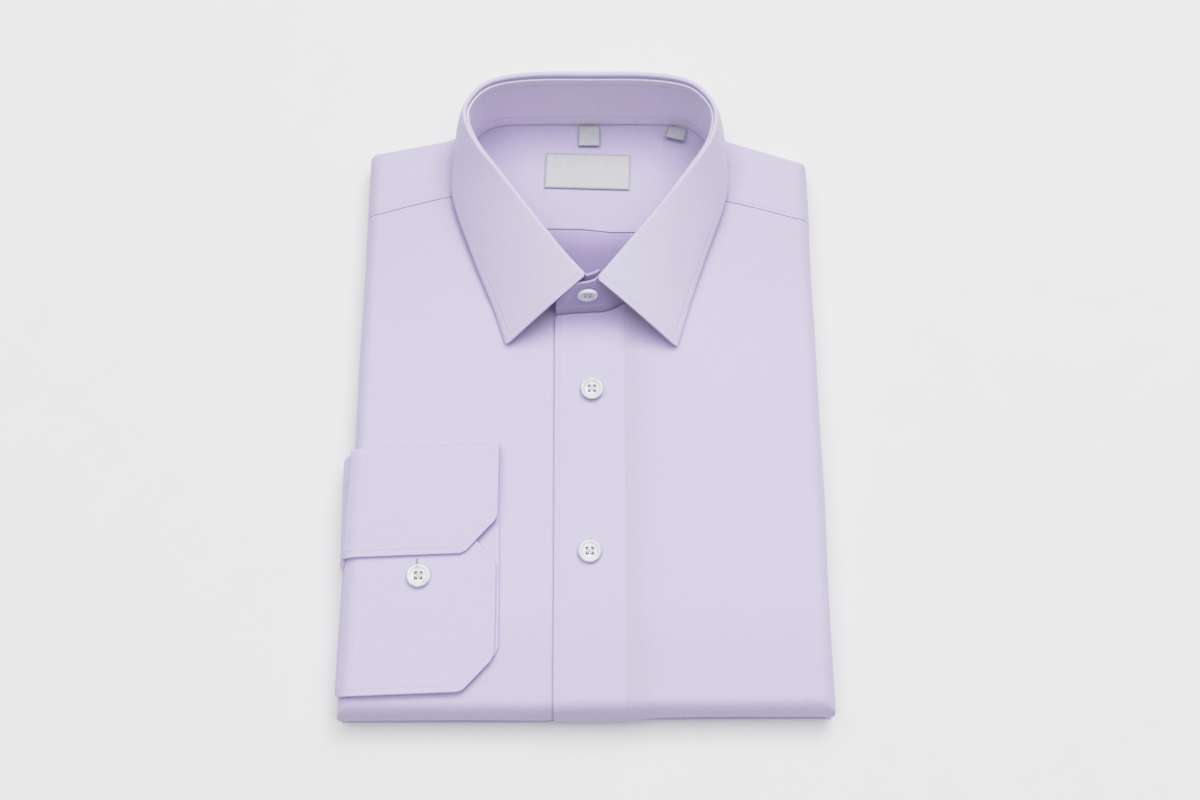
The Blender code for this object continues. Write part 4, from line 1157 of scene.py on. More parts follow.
def left_edge(y):
    """The body's left edge beside the cuff, which runs straight on past the body's corner."""
    y_on_edge = max(y, CUFF_STRAIGHT_BELOW)
    top, step, _, _ = edge_at(edge_place(1, y_on_edge, (-TOP_X, y_on_edge)))
    return Vector((top.x, y)), Vector((step.x, 0.0)), Vector((-1.0, 0.0))


def cuff_point(x, y, lift):
    """A point on the cuff. x left of the body's top outline counts along the rounded edge."""
    edge = left_edge(y)
    if x >= edge[0].x:
        return Vector((x, y, top_height(x, y) + lift))
    return skin(edge, math.degrees((edge[0].x - x) / WRAP_RADIUS), lift)


CUFF_ROWS = (
    # y at the right, how much lower at the left, left x, right x, height over the front
    (-151.4, 0.0, -107.0, -59.8, CUFF_LIFT_UNDER),
    (-145.0, 0.0, -107.0, -53.4, CUFF_LIFT_UNDER),
    (-139.0, 0.0, -107.0, -47.0, CUFF_LIFT_UNDER),
    (-135.6, 0.0, -107.0, -42.8, CUFF_LIFT_UNDER),
    (-132.0, 0.0, -107.0, -41.5, CUFF_LIFT_UNDER),
    (-110.0, 0.0, -107.0, -41.6, CUFF_LIFT_UNDER),
    (-85.0, 0.0, -107.0, -42.1, CUFF_LIFT_UNDER),
    (-60.0, 1.0, -111.0, -42.7, CUFF_LIFT_UNDER),
    (CUFF_FOLD_Y - 1.6, 2.4, -112.0, CUFF_RIGHT, CUFF_LIFT_UNDER),
    (CUFF_FOLD_Y - 0.4, 2.4, -112.0, CUFF_RIGHT, CUFF_LIFT_UNDER + 0.7),
    (CUFF_FOLD_Y, 2.4, -112.0, CUFF_RIGHT, CUFF_LIFT_MIDDLE),
    (CUFF_FOLD_Y - 0.4, 2.4, -112.0, CUFF_RIGHT, CUFF_LIFT_OVER - 0.7),
    (CUFF_FOLD_Y - 1.8, 2.4, -112.6, CUFF_RIGHT, CUFF_LIFT_OVER),
    (-52.0, 1.8, -113.0, CUFF_RIGHT, CUFF_LIFT_OVER + 0.2),
    (-68.6, 1.8, -113.6, CUFF_RIGHT - 0.1, CUFF_LIFT_OVER + 0.3),
    (-71.0, 1.8, -113.7, -44.2, CUFF_LIFT_OVER + 0.3),
    (-79.4, 1.9, -114.0, -51.8, CUFF_LIFT_OVER + 0.2),
    (-86.0, 2.1, -114.4, -57.6, CUFF_LIFT_OVER),
    (-87.3, 2.2, -114.4, -60.4, CUFF_LIFT_OVER),
)
BUTTON_END_ROWS = tuple((*row, CUFF_LIFT_MIDDLE) for row in (
    (-78.0, 0.0, -110.0, -55.4),
    (-80.0, 0.0, -114.0, -53.4),
    (-82.4, 0.0, -116.4, -51.1),
    (-92.0, 0.6, -116.7, -43.4),
    (-95.0, 0.6, -116.7, -43.2),
    (-106.0, 0.8, -116.7, -43.1),
    (-120.0, 1.0, -116.7, -43.0),
    (-136.0, 1.4, -116.7, -43.2),
    (-139.0, 1.5, -116.7, -44.8),
    (-146.5, 1.8, -116.7, -51.6),
    (-152.4, 2.2, -116.7, -57.2),
    (-153.4, 2.3, -116.7, -59.8),
))
CUFF_COLUMNS = 44
CUFF_STEP = 2.2
SMOOTH_STEPS = 4
SETTLE_RUN = 9.0            # how far past the top outline the cuff has settled
EVEN_SHARE = 0.65           # how even the cuff's columns are; the rest is closer at both ends
HEM_LEAN = 3.2              # how far the hems run back as the cuff turns down the side


def side_lift(x, y, lift, settled):
    """The cuff settles closer to the body as it turns down round the edge."""
    return lift + (settled - lift) * ease((left_edge(y)[0].x - x) / SETTLE_RUN)


def finer(rows, step, smooth=()):
    """Rows no further apart in y than a step; those numbered as smooth follow a rounded path."""
    found = []
    for i, (a, b) in enumerate(zip(rows, rows[1:])):
        if i in smooth:
            around = rows[max(i - 1, 0):i + 3]
            first = SMOOTH_STEPS if i else 0
            found += through(around, SMOOTH_STEPS)[first:first + SMOOTH_STEPS]
            continue
        count = max(1, math.ceil(abs(b[0] - a[0]) / step))
        found += [tuple(p + (q - p) * k / count for p, q in zip(a, b)) for k in range(count)]
    return found + [rows[-1]]


def make_cuff_piece(name, rows, settled, smooth=()):
    rows = finer(rows, CUFF_STEP, smooth)
    points, flat = [], []
    slow = [0.5 - 0.5 * math.cos(math.pi * k / CUFF_COLUMNS) for k in range(CUFF_COLUMNS + 1)]
    shares = [(1.0 - EVEN_SHARE) * e + EVEN_SHARE * k / CUFF_COLUMNS for k, e in enumerate(slow)]
    run = 0.0
    highest = max(row[0] for row in rows)
    for i, (row_y, dip, left, right, lift) in enumerate(rows):
        if i:
            run += math.hypot(row_y - rows[i - 1][0], lift - rows[i - 1][4])
        for t in shares:
            x = left + (right - left) * t
            y = row_y - dip * (1.0 - t)
            turned = max(0.0, left_edge(y)[0].x - x) / WRAP_RADIUS
            y += HEM_LEAN * (1.0 - math.cos(turned)) * ease((highest - row_y) / 50.0)
            here = side_lift(x, y, lift, settled(lift))
            here += creased(FRONT_CREASES, x, y) * CUFF_CREASE_SHARE
            points.append(cuff_point(x, y, here))
            flat.append((x, run))
    columns = CUFF_COLUMNS + 1
    edges = [
        [points[i * columns + CUFF_COLUMNS] for i in range(len(rows))],
        points[:columns],
        points[-columns:],
    ]
    return cloth(name, points, grid_faces(len(rows), columns), flat, CUFF_CLOTH, 0.0,
                 stitch_rows=[(edges, CUFF_STITCH)], bevel=0.4)


SLEEVE_ROWS = (
    # y, x of the cuff's seam, height over the body
    (-36.2, -113.2, 1.3),
    (-36.7, -113.2, 3.0),
    (-38.4, -113.3, 4.2),
    (-52.0, -113.6, 4.1),
    (-75.0, -114.2, 3.3),
    (-89.8, -114.5, 3.0),
    (-92.0, -117.3, 1.5),
    (-115.0, -117.3, 1.75),
    (-135.0, -117.3, 1.75),
    (-154.6, -117.3, 1.75),
)
SLEEVE_COLUMNS = 12
SLEEVE_WAVE, SLEEVE_WAVES = 0.15, 0.13
LEAN_BELOW, LEAN_ABOVE = -112.0, -62.0      # the sleeve leans towards both its ends
SLEEVE_SIDE = (7.2, 5.4, 3.6, 2.0, SLEEVE_FOOT)     # heights of its rows of points down the side


def make_sleeve():
    rows = finer(SLEEVE_ROWS, 2.5)
    points, flat = [], []
    for y, seam, lift in rows:
        edge = left_edge(y)
        first = math.degrees((edge[0].x - seam) / WRAP_RADIUS)
        lean = HEM_LEAN * (ease((LEAN_BELOW - y) / 42.0) + ease((y - LEAN_ABOVE) / 24.0))
        for k in range(SLEEVE_COLUMNS + 1):
            angle = first + (90.0 - first) * k / SLEEVE_COLUMNS
            back = lean * (1.0 - math.cos(math.radians(angle)))
            points.append(skin(edge, angle, lift) + Vector((0.0, back, 0.0)))
            flat.append((seam - k, y))
        side = points[-1]
        for k, height in enumerate(SLEEVE_SIDE):
            wave = SLEEVE_WAVE * math.sin(SLEEVE_WAVES * y + k)
            points.append(Vector((side[0] + wave, side[1], height)))
            flat.append((seam - SLEEVE_COLUMNS - 3 * k, y))
    columns = SLEEVE_COLUMNS + 1 + len(SLEEVE_SIDE)
    return cloth("sleeve", points, grid_faces(len(rows), columns), flat, CUFF_CLOTH, 0.0)


# ---------------------------------------------------------------- labels and buttons

LABEL_ROWS = (
    # name, middle x, upper edge y, width, length, tilt, lift of the free end
    ("neck_label", 0.1, 136.2, 45.2, 21.0, -1.8, 0.0),
    ("care_tab", 0.6, 153.5, 11.6, 12.8, 0.0, 0.8),
    ("size_tab", 48.4, 152.1, 10.4, 8.6, -16.0, 2.4),
)
LABEL_NAMES = tuple(row[0] for row in LABEL_ROWS)
LABEL_STEP = 0.6
LABEL_ABOVE = 0.45          # gap between a label and the inner yoke
LABEL_PUFF, LABEL_CUP = 0.175, 0.25
BORDER_INSET = 0.32


def make_label(name, middle, upper, width, length, tilt, lift):
    """A ribbon label on the inner yoke, curling up a little towards its free end."""
    turn = Matrix.Rotation(math.radians(tilt), 2)
    across_steps, down_steps = round(width / LABEL_STEP), round(length / LABEL_STEP)
    points, flat = [], []
    for row in range(down_steps + 1):
        down = row / down_steps
        for column in range(across_steps + 1):
            across = column / across_steps - 0.5
            place = Vector((middle, upper)) + turn @ Vector((across * width, -down * length))
            puff = LABEL_PUFF * (1.0 - (2 * across) ** 6) * (1.0 - (2 * down - 1) ** 6)
            curl = lift * down + LABEL_CUP * lift * (2 * across) ** 2 * down
            above = inside_height(*place) + LABEL_ABOVE + LABEL_CLOTH / 2 + curl + puff
            points.append((place.x, place.y, above))
            flat.append((across * width, -down * length))
    faces = [face[::-1] for face in grid_faces(down_steps + 1, across_steps + 1)]
    rim = [points[:across_steps + 1], points[-across_steps - 1:],
           points[::across_steps + 1], points[across_steps::across_steps + 1]]
    return cloth(name, points, faces, flat, LABEL_CLOTH, 0.0, stitch_rows=[(rim, BORDER_INSET)],
                 bevel=0.12)


# A button's half section: distance from its middle and height, as shares of radius and thickness
BUTTON_FACE = 0.66
BUTTON_PROFILE = (
    (0.0, 0.0), (0.70, 0.0), (0.86, 0.08), (0.96, 0.28), (1.0, 0.52), (0.985, 0.74), (0.93, 0.92),
    (0.86, 0.99), (0.80, 0.98), (0.74, 0.9), (0.68, 0.76), (0.63, 0.69), (0.56, BUTTON_FACE),
    (0.3, BUTTON_FACE), (0.0, BUTTON_FACE),
)
BUTTON_SHARP = 40           # degrees from which an edge of a button is sharp
HOLE_ANGLES = tuple(math.radians(45 + 90 * k) for k in range(4))
HOLE_SIDES, HOLE_DEEP = 20, 8.0
BUTTON_THREAD, THREAD_ASIDE, THREAD_SIDES = 0.15, 0.16, 6


def new_object(name, shape):
    """An object from a bmesh whose points are in metres, where they belong."""
    mesh = bpy.data.meshes.new(name)
    shape.to_mesh(mesh)
    shape.free()
    mesh.shade_smooth()
    return linked(name, mesh)


def baked(item):
    """The object with its modifiers applied, as a plain mesh."""
    bpy.context.view_layer.update()
    evaluated = item.evaluated_get(bpy.context.evaluated_depsgraph_get())
    mesh = bpy.data.meshes.new_from_object(evaluated)
    item.modifiers.clear()
    item.data = mesh
    return item


def lathe(profile, sides):
    shape = bmesh.new()
    rings = []
    for r, h in profile[1:-1]:
        rings.append([shape.verts.new((r * math.cos(2 * math.pi * k / sides),
                                       r * math.sin(2 * math.pi * k / sides), h))
                      for k in range(sides)])
    low, high = shape.verts.new((0, 0, profile[0][1])), shape.verts.new((0, 0, profile[-1][1]))
    join_rings(shape, rings)
    for k in range(sides):
        j = (k + 1) % sides
        shape.faces.new((low, rings[0][j], rings[0][k]))
        shape.faces.new((high, rings[-1][k], rings[-1][j]))
    return shape


def join_rings(shape, rings):
    for low, high in zip(rings, rings[1:]):
        for k in range(len(low)):
            j = (k + 1) % len(low)
            shape.faces.new((low[k], low[j], high[j], high[k]))


def add_tube(shape, path, radius, sides):
    """A round thread along a path, closed at both ends."""
    rings = []
    for i, point in enumerate(path):
        along = (path[min(i + 1, len(path) - 1)] - path[max(i - 1, 0)]).normalized()
        one = along.orthogonal().normalized()
        if rings:
            one = (before - along * before.dot(along)).normalized()
        before, two = one, along.cross(one)
        turns = [2 * math.pi * k / sides for k in range(sides)]
        rings.append([shape.verts.new(point + (one * math.cos(t) + two * math.sin(t)) * radius)
                      for t in turns])
    join_rings(shape, rings)
    shape.faces.new(rings[0][::-1])
    shape.faces.new(rings[-1])


def set_down(item, place, facing, scale=1.0):
    """Moves a mesh from the origin to its place in millimetres, turned from up to `facing`."""
    turn = Vector((0, 0, 1)).rotation_difference(Vector(facing)).to_matrix().to_4x4()
    move = Matrix.Translation((Vector(place) - MIDDLE) * MM)
    item.data.transform(move @ turn @ Matrix.Scale(scale, 4))


def make_button(name, place, facing, radius):
    """A four-hole button whose back is at the place and whose face points along `facing`."""
    profile = [(r * radius * MM, h * BUTTON_THICK * MM) for r, h in BUTTON_PROFILE]
    button = new_object(name + "_pearl", lathe(profile, BUTTON_SIDES))
    holes = bmesh.new()
    out = HOLE_OUT * radius / BUTTON_RADIUS * MM
    for angle in HOLE_ANGLES:
        made = bmesh.ops.create_cone(holes, cap_ends=True, segments=HOLE_SIDES,
                                     depth=HOLE_DEEP * MM, radius1=HOLE_RADIUS * MM,
                                     radius2=HOLE_RADIUS * MM)
        bmesh.ops.translate(holes, verts=made["verts"],
                            vec=(out * math.cos(angle), out * math.sin(angle), 0))
    cutter = new_object(name + "_holes", holes)
    cut = button.modifiers.new("holes", "BOOLEAN")
    cut.object, cut.solver = cutter, "EXACT"
    baked(button)
    bpy.data.objects.remove(cutter)
    set_down(button, place, facing)
    button.data.shade_smooth()
    button.data.set_sharp_from_angle(angle=math.radians(BUTTON_SHARP))
    return button


def make_button_thread(name, place, facing, radius):
    """Crossed thread through the holes, down to the cloth under the button."""
    shape = bmesh.new()
    out = HOLE_OUT * radius / BUTTON_RADIUS
    face = BUTTON_FACE * BUTTON_THICK
    for k, angle in enumerate(HOLE_ANGLES):
        flat = Vector((math.cos(angle), math.sin(angle), 0))
        high = face + 0.2 + 0.12 * (k % 2)
        # How far out and how high the thread is, from under the button to its middle
        bends = ((out + 0.1, -0.4), (out + 0.05, face - 0.2), (out - 0.35, face + 0.1),
                 (out * 0.5, high), (0.0, high + 0.04))
        for aside in (-THREAD_ASIDE, THREAD_ASIDE):
            side = Vector((-flat.y, flat.x, 0)) * aside
            path = [flat * away + side + Vector((0, 0, height)) for away, height in bends]
            add_tube(shape, path, BUTTON_THREAD, THREAD_SIDES)
    thread = new_object(name + "_thread", shape)
    set_down(thread, place, facing, MM)
    return thread


# ---------------------------------------------------------------- stitches

def stitch_tree():
    """Geometry nodes that lay stitches along the lines of a mesh."""
    tree = bpy.data.node_groups.new("stitch_row", "GeometryNodeTree")
    socket = tree.interface.new_socket
    socket("Lines", in_out="INPUT", socket_type="NodeSocketGeometry")
    for name in ("Pitch", "Length", "Width", "Height"):
        socket(name, in_out="INPUT", socket_type="NodeSocketFloat")
    socket("Thread", in_out="INPUT", socket_type="NodeSocketMaterial")
    socket("Stitches", in_out="OUTPUT", socket_type="NodeSocketGeometry")
    given, made, curve, spaced, tangent, turned, ball, size, placed, real, smooth, dyed = [
        tree.nodes.new(kind) for kind in (
            "NodeGroupInput", "NodeGroupOutput", "GeometryNodeMeshToCurve",
            "GeometryNodeResampleCurve", "GeometryNodeInputTangent",
            "FunctionNodeAlignRotationToVector", "GeometryNodeMeshUVSphere",
            "ShaderNodeCombineXYZ", "GeometryNodeInstanceOnPoints",
            "GeometryNodeRealizeInstances", "GeometryNodeSetShadeSmooth",
            "GeometryNodeSetMaterial")]
    spaced.mode = "LENGTH"
    turned.axis = "X"
    for label, value in (("Segments", 8), ("Rings", 5), ("Radius", 0.5)):
        ball.inputs[label].default_value = value
    for source, out, target, into in (
            (given, "Lines", curve, "Mesh"),
            (curve, "Curve", spaced, "Curve"),
            (given, "Pitch", spaced, "Length"),
            (tangent, "Tangent", turned, "Vector"),
            (given, "Length", size, "X"),
            (given, "Width", size, "Y"),
            (given, "Height", size, "Z"),
            (spaced, "Curve", placed, "Points"),
            (ball, "Mesh", placed, "Instance"),
            (turned, "Rotation", placed, "Rotation"),
            (size, "Vector", placed, "Scale"),
            (placed, "Instances", real, "Geometry"),
            (real, "Geometry", smooth, "Geometry"),
            (smooth, "Geometry", dyed, "Geometry"),
            (given, "Thread", dyed, "Material"),
            (dyed, "Geometry", made, "Stitches")):
        tree.links.new(source.outputs[out], target.inputs[into])
    return tree


def make_stitches(name, tree, thread, lines, form=STITCH):
    """Stitches along lines of points in metres, as one plain mesh. Their form is their pitch,
    length, width and height."""
    mesh = bpy.data.meshes.new(name)
    points, edges = [], []
    for line in lines:
        start = len(points)
        points += [tuple(p) for p in line]
        edges += [(start + k, start + k + 1) for k in range(len(line) - 1)]
    mesh.from_pydata(points, edges, [])
    item = linked(name, mesh)
    sewing = item.modifiers.new("sewing", "NODES")
    sewing.node_group = tree
    values = {label: size * MM for label, size in zip(("Pitch", "Length", "Width", "Height"), form)}
    values["Thread"] = thread
    for socket in tree.interface.items_tree:
        if socket.in_out == "INPUT" and socket.name in values:
            sewing[socket.identifier] = values[socket.name]
    return baked(item)


def on_face(paths, away):
    """The points of stitch paths, moved along their normals by a distance in millimetres."""
    return [[place + normal * (away * MM) for place, normal in path] for path in paths]


def both_faces(paths, wall):
    return on_face(paths, wall / 2) + on_face(paths, -wall / 2)


def line_on(surface, a, b, step=1.2):
    """A straight row in plan laid on a surface, in metres."""
    return [(Vector(surface(x, y)) - MIDDLE) * MM for x, y in filled([a, b], step)]


# ---------------------------------------------------------------- finishes

def node_group(name, inputs, outputs):
    group = bpy.data.node_groups.new(name, "ShaderNodeTree")
    for in_out, rows in (("INPUT", inputs), ("OUTPUT", outputs)):
        for label, kind in rows:
            group.interface.new_socket(label, in_out=in_out, socket_type="NodeSocket" + kind)
    return group, group.nodes.new("NodeGroupInput"), group.nodes.new("NodeGroupOutput")


def set_inputs(tree, node, values):
    """Gives the inputs of a node their values, which are sockets or numbers."""
    for label, value in values.items():
        if isinstance(value, bpy.types.NodeSocket):
            tree.links.new(value, node.inputs[label])
        else:
            node.inputs[label].default_value = value


def shader_node(tree, kind, values, **settings):
    node = tree.nodes.new("ShaderNode" + kind)
    for label, value in settings.items():
        setattr(node, label, value)
    set_inputs(tree, node, values)
    return node


def maths(tree, operation, *values):
    node = shader_node(tree, "Math", dict(enumerate(values)), operation=operation)
    return node.outputs["Value"]


def weighted(tree, first, second):
    """The sum of two sockets, each given with its weight."""
    return maths(tree, "ADD", maths(tree, "MULTIPLY", *first), maths(tree, "MULTIPLY", *second))


def smooth_range(tree, value, low, high, start=0.0, end=1.0):
    values = {"Value": value, "From Min": low, "From Max": high, "To Min": start, "To Max": end}
    return shader_node(tree, "MapRange", values, interpolation_type="SMOOTHSTEP").outputs["Result"]


def noise(tree, vector, scale, stretch, detail):
    """Noise that is stretched along one thread direction."""
    mapped = shader_node(tree, "Mapping", {"Scale": stretch, "Vector": vector}).outputs["Vector"]
    values = {"Scale": scale, "Detail": detail, "Vector": mapped}
    return shader_node(tree, "TexNoise", values).outputs["Fac"]


def mixed(tree, amount, low, high, blend="MIX"):
    """A colour between or made from two, which are sockets or red, green and blue."""
    low, high = [(*c, 1.0) if isinstance(c, tuple) else c for c in (low, high)]
    node = shader_node(tree, "Mix", {}, data_type="RGBA", blend_type=blend)
    set_inputs(tree, node, {"Factor": amount, "A": low, "B": high})
    return node.outputs["Result"]


def bump(tree, height, distance):
    values = {"Distance": distance * MM, "Strength": 1.0, "Height": height}
    return shader_node(tree, "Bump", values)


def object_noise(tree, scale, stretch, detail):
    place = shader_node(tree, "TexCoord", {}).outputs["Object"]
    return noise(tree, place, scale, stretch, detail)


def weave_group():
    """Plain weave on a UV map in centimetres: thread height, thread tone and slow shade changes."""
    group, given, made = node_group(
        "plain_weave", (("Cloth", "Vector"), ("Threads per cm", "Float")),
        (("Height", "Float"), ("Tone", "Float"), ("Cloud", "Float")))
    place = given.outputs["Cloth"]
    split = shader_node(group, "SeparateXYZ", {"Vector": place})
    turns = maths(group, "MULTIPLY", given.outputs["Threads per cm"], math.pi)
    warp, weft = [maths(group, "SINE", maths(group, "MULTIPLY", split.outputs[axis], turns))
                  for axis in "XY"]
    crossing = maths(group, "MULTIPLY", warp, weft)
    warp_slub = noise(group, place, 1.0, (9.0, 1.1, 1.0), 4.0)
    weft_slub = noise(group, place, 1.0, (1.3, 10.0, 1.0), 4.0)
    slub = weighted(group, (warp_slub, 0.5), (weft_slub, 0.5))
    set_inputs(group, made, {
        "Height": weighted(group, (crossing, 0.35), (slub, 1.3)),
        "Tone": weighted(group, (smooth_range(group, slub, 0.32, 0.68), 1.0), (crossing, 0.12)),
        "Cloud": noise(group, place, 0.45, (1.0, 1.0, 1.0), 3.0),
    })
    return group


def pucker_group():
    """The furrow that a row of stitches pulls into cloth, with small puckers beside it."""
    group, given, made = node_group(
        "sewn_pucker", (("Cloth", "Vector"), ("Sewn", "Float")), (("Height", "Float"),))
    away = maths(group, "ABSOLUTE", given.outputs["Sewn"])
    near = smooth_range(group, away, 0.4, 3.2, 1.0, 0.0)
    uneven = noise(group, given.outputs["Cloth"], 3.6, (1, 1, 1), 2.0)
    pucker = maths(group, "MULTIPLY", uneven, near)
    height = weighted(group, (smooth_range(group, away, 0.1, 0.95), 1.0), (pucker, 0.55))
    set_inputs(group, made, {"Height": height})
    return group


def material(name):
    found = bpy.data.materials.new(name)
    found.use_nodes = True
    return found, found.node_tree, found.node_tree.nodes["Principled BSDF"]


PAINTED_SHADE_TONE = (0.905, 0.905, 0.875)     # painted shade: the darkest tone that a cloth's colour is multiplied to
STAND_FRONT_PAINTED_SHADE = (0.54, 0.50, 0.665)        # painted shade on the front of the stand, under the collar's points
BACK_PAINTED_SHADE = (0.72, 0.71, 0.76)          # painted shade on the back panel low in the neck
WOVEN_ROWS = (
    # name, darker and lighter colour, threads per cm, relief, roughness, sheen, tone of painted
    # shade
    ("lavender_poplin", (0.585, 0.53, 0.765), (0.63, 0.575, 0.81),
     40.0, 0.035, 0.72, 0.25, PAINTED_SHADE_TONE),
    # painted shade: the back inside the neck is darker for the shade it lies in
    ("lavender_back_painted_shade", (0.45, 0.395, 0.575), (0.49, 0.435, 0.615),
     40.0, 0.035, 0.74, 0.2, BACK_PAINTED_SHADE),
    # painted light: the leaf's cloth is lighter than the body's
    ("lavender_collar_painted_light", (0.615, 0.572, 0.78), (0.66, 0.62, 0.825),
     40.0, 0.035, 0.72, 0.25, PAINTED_SHADE_TONE),
    # painted light and shade: the stand is much lighter, and its front is darkened
    ("lavender_stand_painted_light_shade", (0.85, 0.785, 0.965), (0.90, 0.84, 0.985),
     40.0, 0.035, 0.7, 0.6, STAND_FRONT_PAINTED_SHADE),
    ("grey_satin_ribbon", (0.47, 0.48, 0.50), (0.56, 0.57, 0.59),
     60.0, 0.02, 0.38, 0.1, PAINTED_SHADE_TONE),
)
FURROW_DEPTH = 0.17


def woven_material(groups, name, low, high, threads, relief, roughness, sheen, darker):
    """A woven cloth: thread and slub tones between two colours, weave relief and stitch furrows,
    with painted shade where its attribute asks for it.
    """
    found, tree, shader = material(name)
    uv = shader_node(tree, "UVMap", {}, uv_map="cloth").outputs["UV"]
    sewn, painted_shade = [shader_node(tree, "Attribute", {}, attribute_name=label).outputs["Fac"]
                    for label in ("sewn", "painted_shade")]
    weave = shader_node(tree, "Group", {}, node_tree=groups[0])
    pucker = shader_node(tree, "Group", {}, node_tree=groups[1])
    set_inputs(tree, weave, {"Cloth": uv, "Threads per cm": threads})
    set_inputs(tree, pucker, {"Cloth": uv, "Sewn": sewn})
    tone = weave.outputs["Tone"]
    shade = weighted(tree, (tone, 0.7), (weave.outputs["Cloud"], 0.3))
    seam = bump(tree, pucker.outputs["Height"], FURROW_DEPTH)
    threads_up = bump(tree, weave.outputs["Height"], relief)
    set_inputs(tree, threads_up, {"Normal": seam.outputs["Normal"]})
    set_inputs(tree, shader, {
        # painted shade: the colour is multiplied towards the darker tone by the attribute
        "Base Color": mixed(tree, painted_shade, mixed(tree, shade, low, high), darker, "MULTIPLY"),
        "Roughness": maths(tree, "ADD", maths(tree, "MULTIPLY", tone, 0.08), roughness - 0.04),
        "Sheen Weight": sheen,
        "Sheen Roughness": 0.5,
        "Specular IOR Level": 0.3,
        "Normal": threads_up.outputs["Normal"],
    })
    return found


THREAD_ROWS = (
    # name, colour
    ("lavender_thread", (0.76, 0.71, 0.88)),
    # painted shade inside the buttonholes' slits
    ("buttonhole_shade", (0.10, 0.08, 0.16)),
    ("white_thread", (0.86, 0.86, 0.88)),
    # painted shadow along the labels' edges
    ("dark_label_border_painted_shadow", (0.16, 0.16, 0.20)),
)


def thread_material(name, colour):
    """Sewing thread: a twisted sheen that changes along it."""
    found, tree, shader = material(name)
    twist = object_noise(tree, 2600.0, (1, 1, 1), 1.0)
    darker = tuple(0.86 * c for c in colour)
    set_inputs(tree, shader, {
        "Base Color": mixed(tree, twist, darker, colour),
        "Roughness": 0.55,
        "Normal": bump(tree, twist, 0.03).outputs["Normal"],
        "Sheen Weight": 0.2,
    })
    return found


def pearl_material():
    """A pearly button: clouded white under a clear gloss."""
    found, tree, shader = material("pearl_button")
    cloud = object_noise(tree, 260.0, (1.0, 0.45, 1.0), 3.0)
    clear = smooth_range(tree, cloud, 0.3, 0.7)
    set_inputs(tree, shader, {
        "Base Color": mixed(tree, clear, (0.70, 0.70, 0.74), (0.90, 0.90, 0.92)),
        "Roughness": smooth_range(tree, cloud, 0.3, 0.7, 0.22, 0.36),
        "Coat Weight": 0.5,
        "Coat Roughness": 0.12,
        "Subsurface Weight": 0.15,
        "Subsurface Radius": (0.8, 0.8, 0.9),
        "Subsurface Scale": 0.001,
    })
    return found


def floor_material():
    found, tree, shader = material("paper_floor")
    grain = object_noise(tree, 40.0, (1, 1, 1), 4.0)
    colour = mixed(tree, grain, (0.845, 0.845, 0.85), (0.875, 0.875, 0.88))
    set_inputs(tree, shader, {"Base Color": colour, "Roughness": 0.85})
    return found


# ---------------------------------------------------------------- buttonholes

BUTTONHOLE_ROWS = (
    # name, x, upper y, lower y
    ("front_upper", 2.4, 2.2, -8.0),
    ("front_lower", 1.7, -79.0, -91.0),
    ("cuff", -80.85, -89.6, -102.0),
)
SATIN = (0.34, 0.42, 0.85, 0.4)     # pitch, length, width and height of the stitches beside a slit
SATIN_ASIDE = 0.62
BAR = (0.5, 0.62, 0.34, 0.42)       # the same of the stitches across its ends
BAR_PAST, BAR_HALF = (0.35, 0.7), 0.9
SLIT_WIDE, SLIT_PAST, SLIT_STEP, SLIT_SIDES = 0.42, 0.1, 0.8, 6


def make_buttonholes(tree, thread, surfaces):
    """The dense stitches round each buttonhole, and the slits between them, dark with painted
    shade.
    """
    borders, tacks = [], []
    slits = bmesh.new()
    for (_, x, upper, lower), surface in zip(BUTTONHOLE_ROWS, surfaces):
        for side in (-SATIN_ASIDE, SATIN_ASIDE):
            borders.append(line_on(surface, (x + side, upper), (x + side, lower)))
        for y in [upper + d for d in BAR_PAST] + [lower - d for d in BAR_PAST]:
            tacks.append(line_on(surface, (x - BAR_HALF, y), (x + BAR_HALF, y)))
        middle = line_on(surface, (x, upper - SLIT_PAST), (x, lower + SLIT_PAST), SLIT_STEP)
        # painted shade: a dark tube stands for the shade inside each slit
        add_tube(slits, middle, SLIT_WIDE / 2 * MM, SLIT_SIDES)
    bmesh.ops.recalc_face_normals(slits, faces=slits.faces[:])
    return (new_object("buttonhole_slits", slits),
            make_stitches("buttonhole_borders", tree, thread, borders, SATIN),
            make_stitches("buttonhole_bars", tree, thread, tacks, BAR))


# ---------------------------------------------------------------- the whole shirt

COLLAR_BUTTON_FACING = (0.08, -1.0, 0.0)


def button_places():
    """Name, place of the back, facing and radius of each button."""
    up = (0, 0, 1)
    on_placket = PLACKET_LIFT + LAYER_GAP
    on_cuff = CUFF_LIFT_MIDDLE + CUFF_CLOTH / 2 + LAYER_GAP
    places = [(name, (x, y, top_height(x, y) + above), up, BUTTON_RADIUS) for name, x, y, above in (
        ("front_button_upper", 2.4, -2.8, on_placket),
        ("front_button_lower", 1.5, -85.6, on_placket),
        ("cuff_button", -79.8, -98.4, on_cuff))]
    seam_x, seam_y, top_x, top_y, top_z = OVER_LAP[0]
    foot = Vector((seam_x, seam_y, top_height(seam_x, seam_y) + LAP_ABOVE))
    head = Vector((top_x, top_y, top_z))
    up = (head - foot).normalized()
    facing = -Vector(COLLAR_BUTTON_FACING).cross(up).cross(up).normalized()
    place = foot.lerp(head, COLLAR_BUTTON_UP) + facing * (STAND_CLOTH / 2 + STAND_BOW + BUTTON_HANG)
    facing = (facing + Vector((0.0, 0.0, -BUTTON_SAG))).normalized()
    place.x += COLLAR_BUTTON_ASIDE
    places.append(("collar_button", tuple(place), tuple(facing), COLLAR_BUTTON_RADIUS))
    return places


def placket_surface(x, y):
    return x, y, top_height(x, y) + PLACKET_LIFT + creased(FRONT_CREASES, x, y)


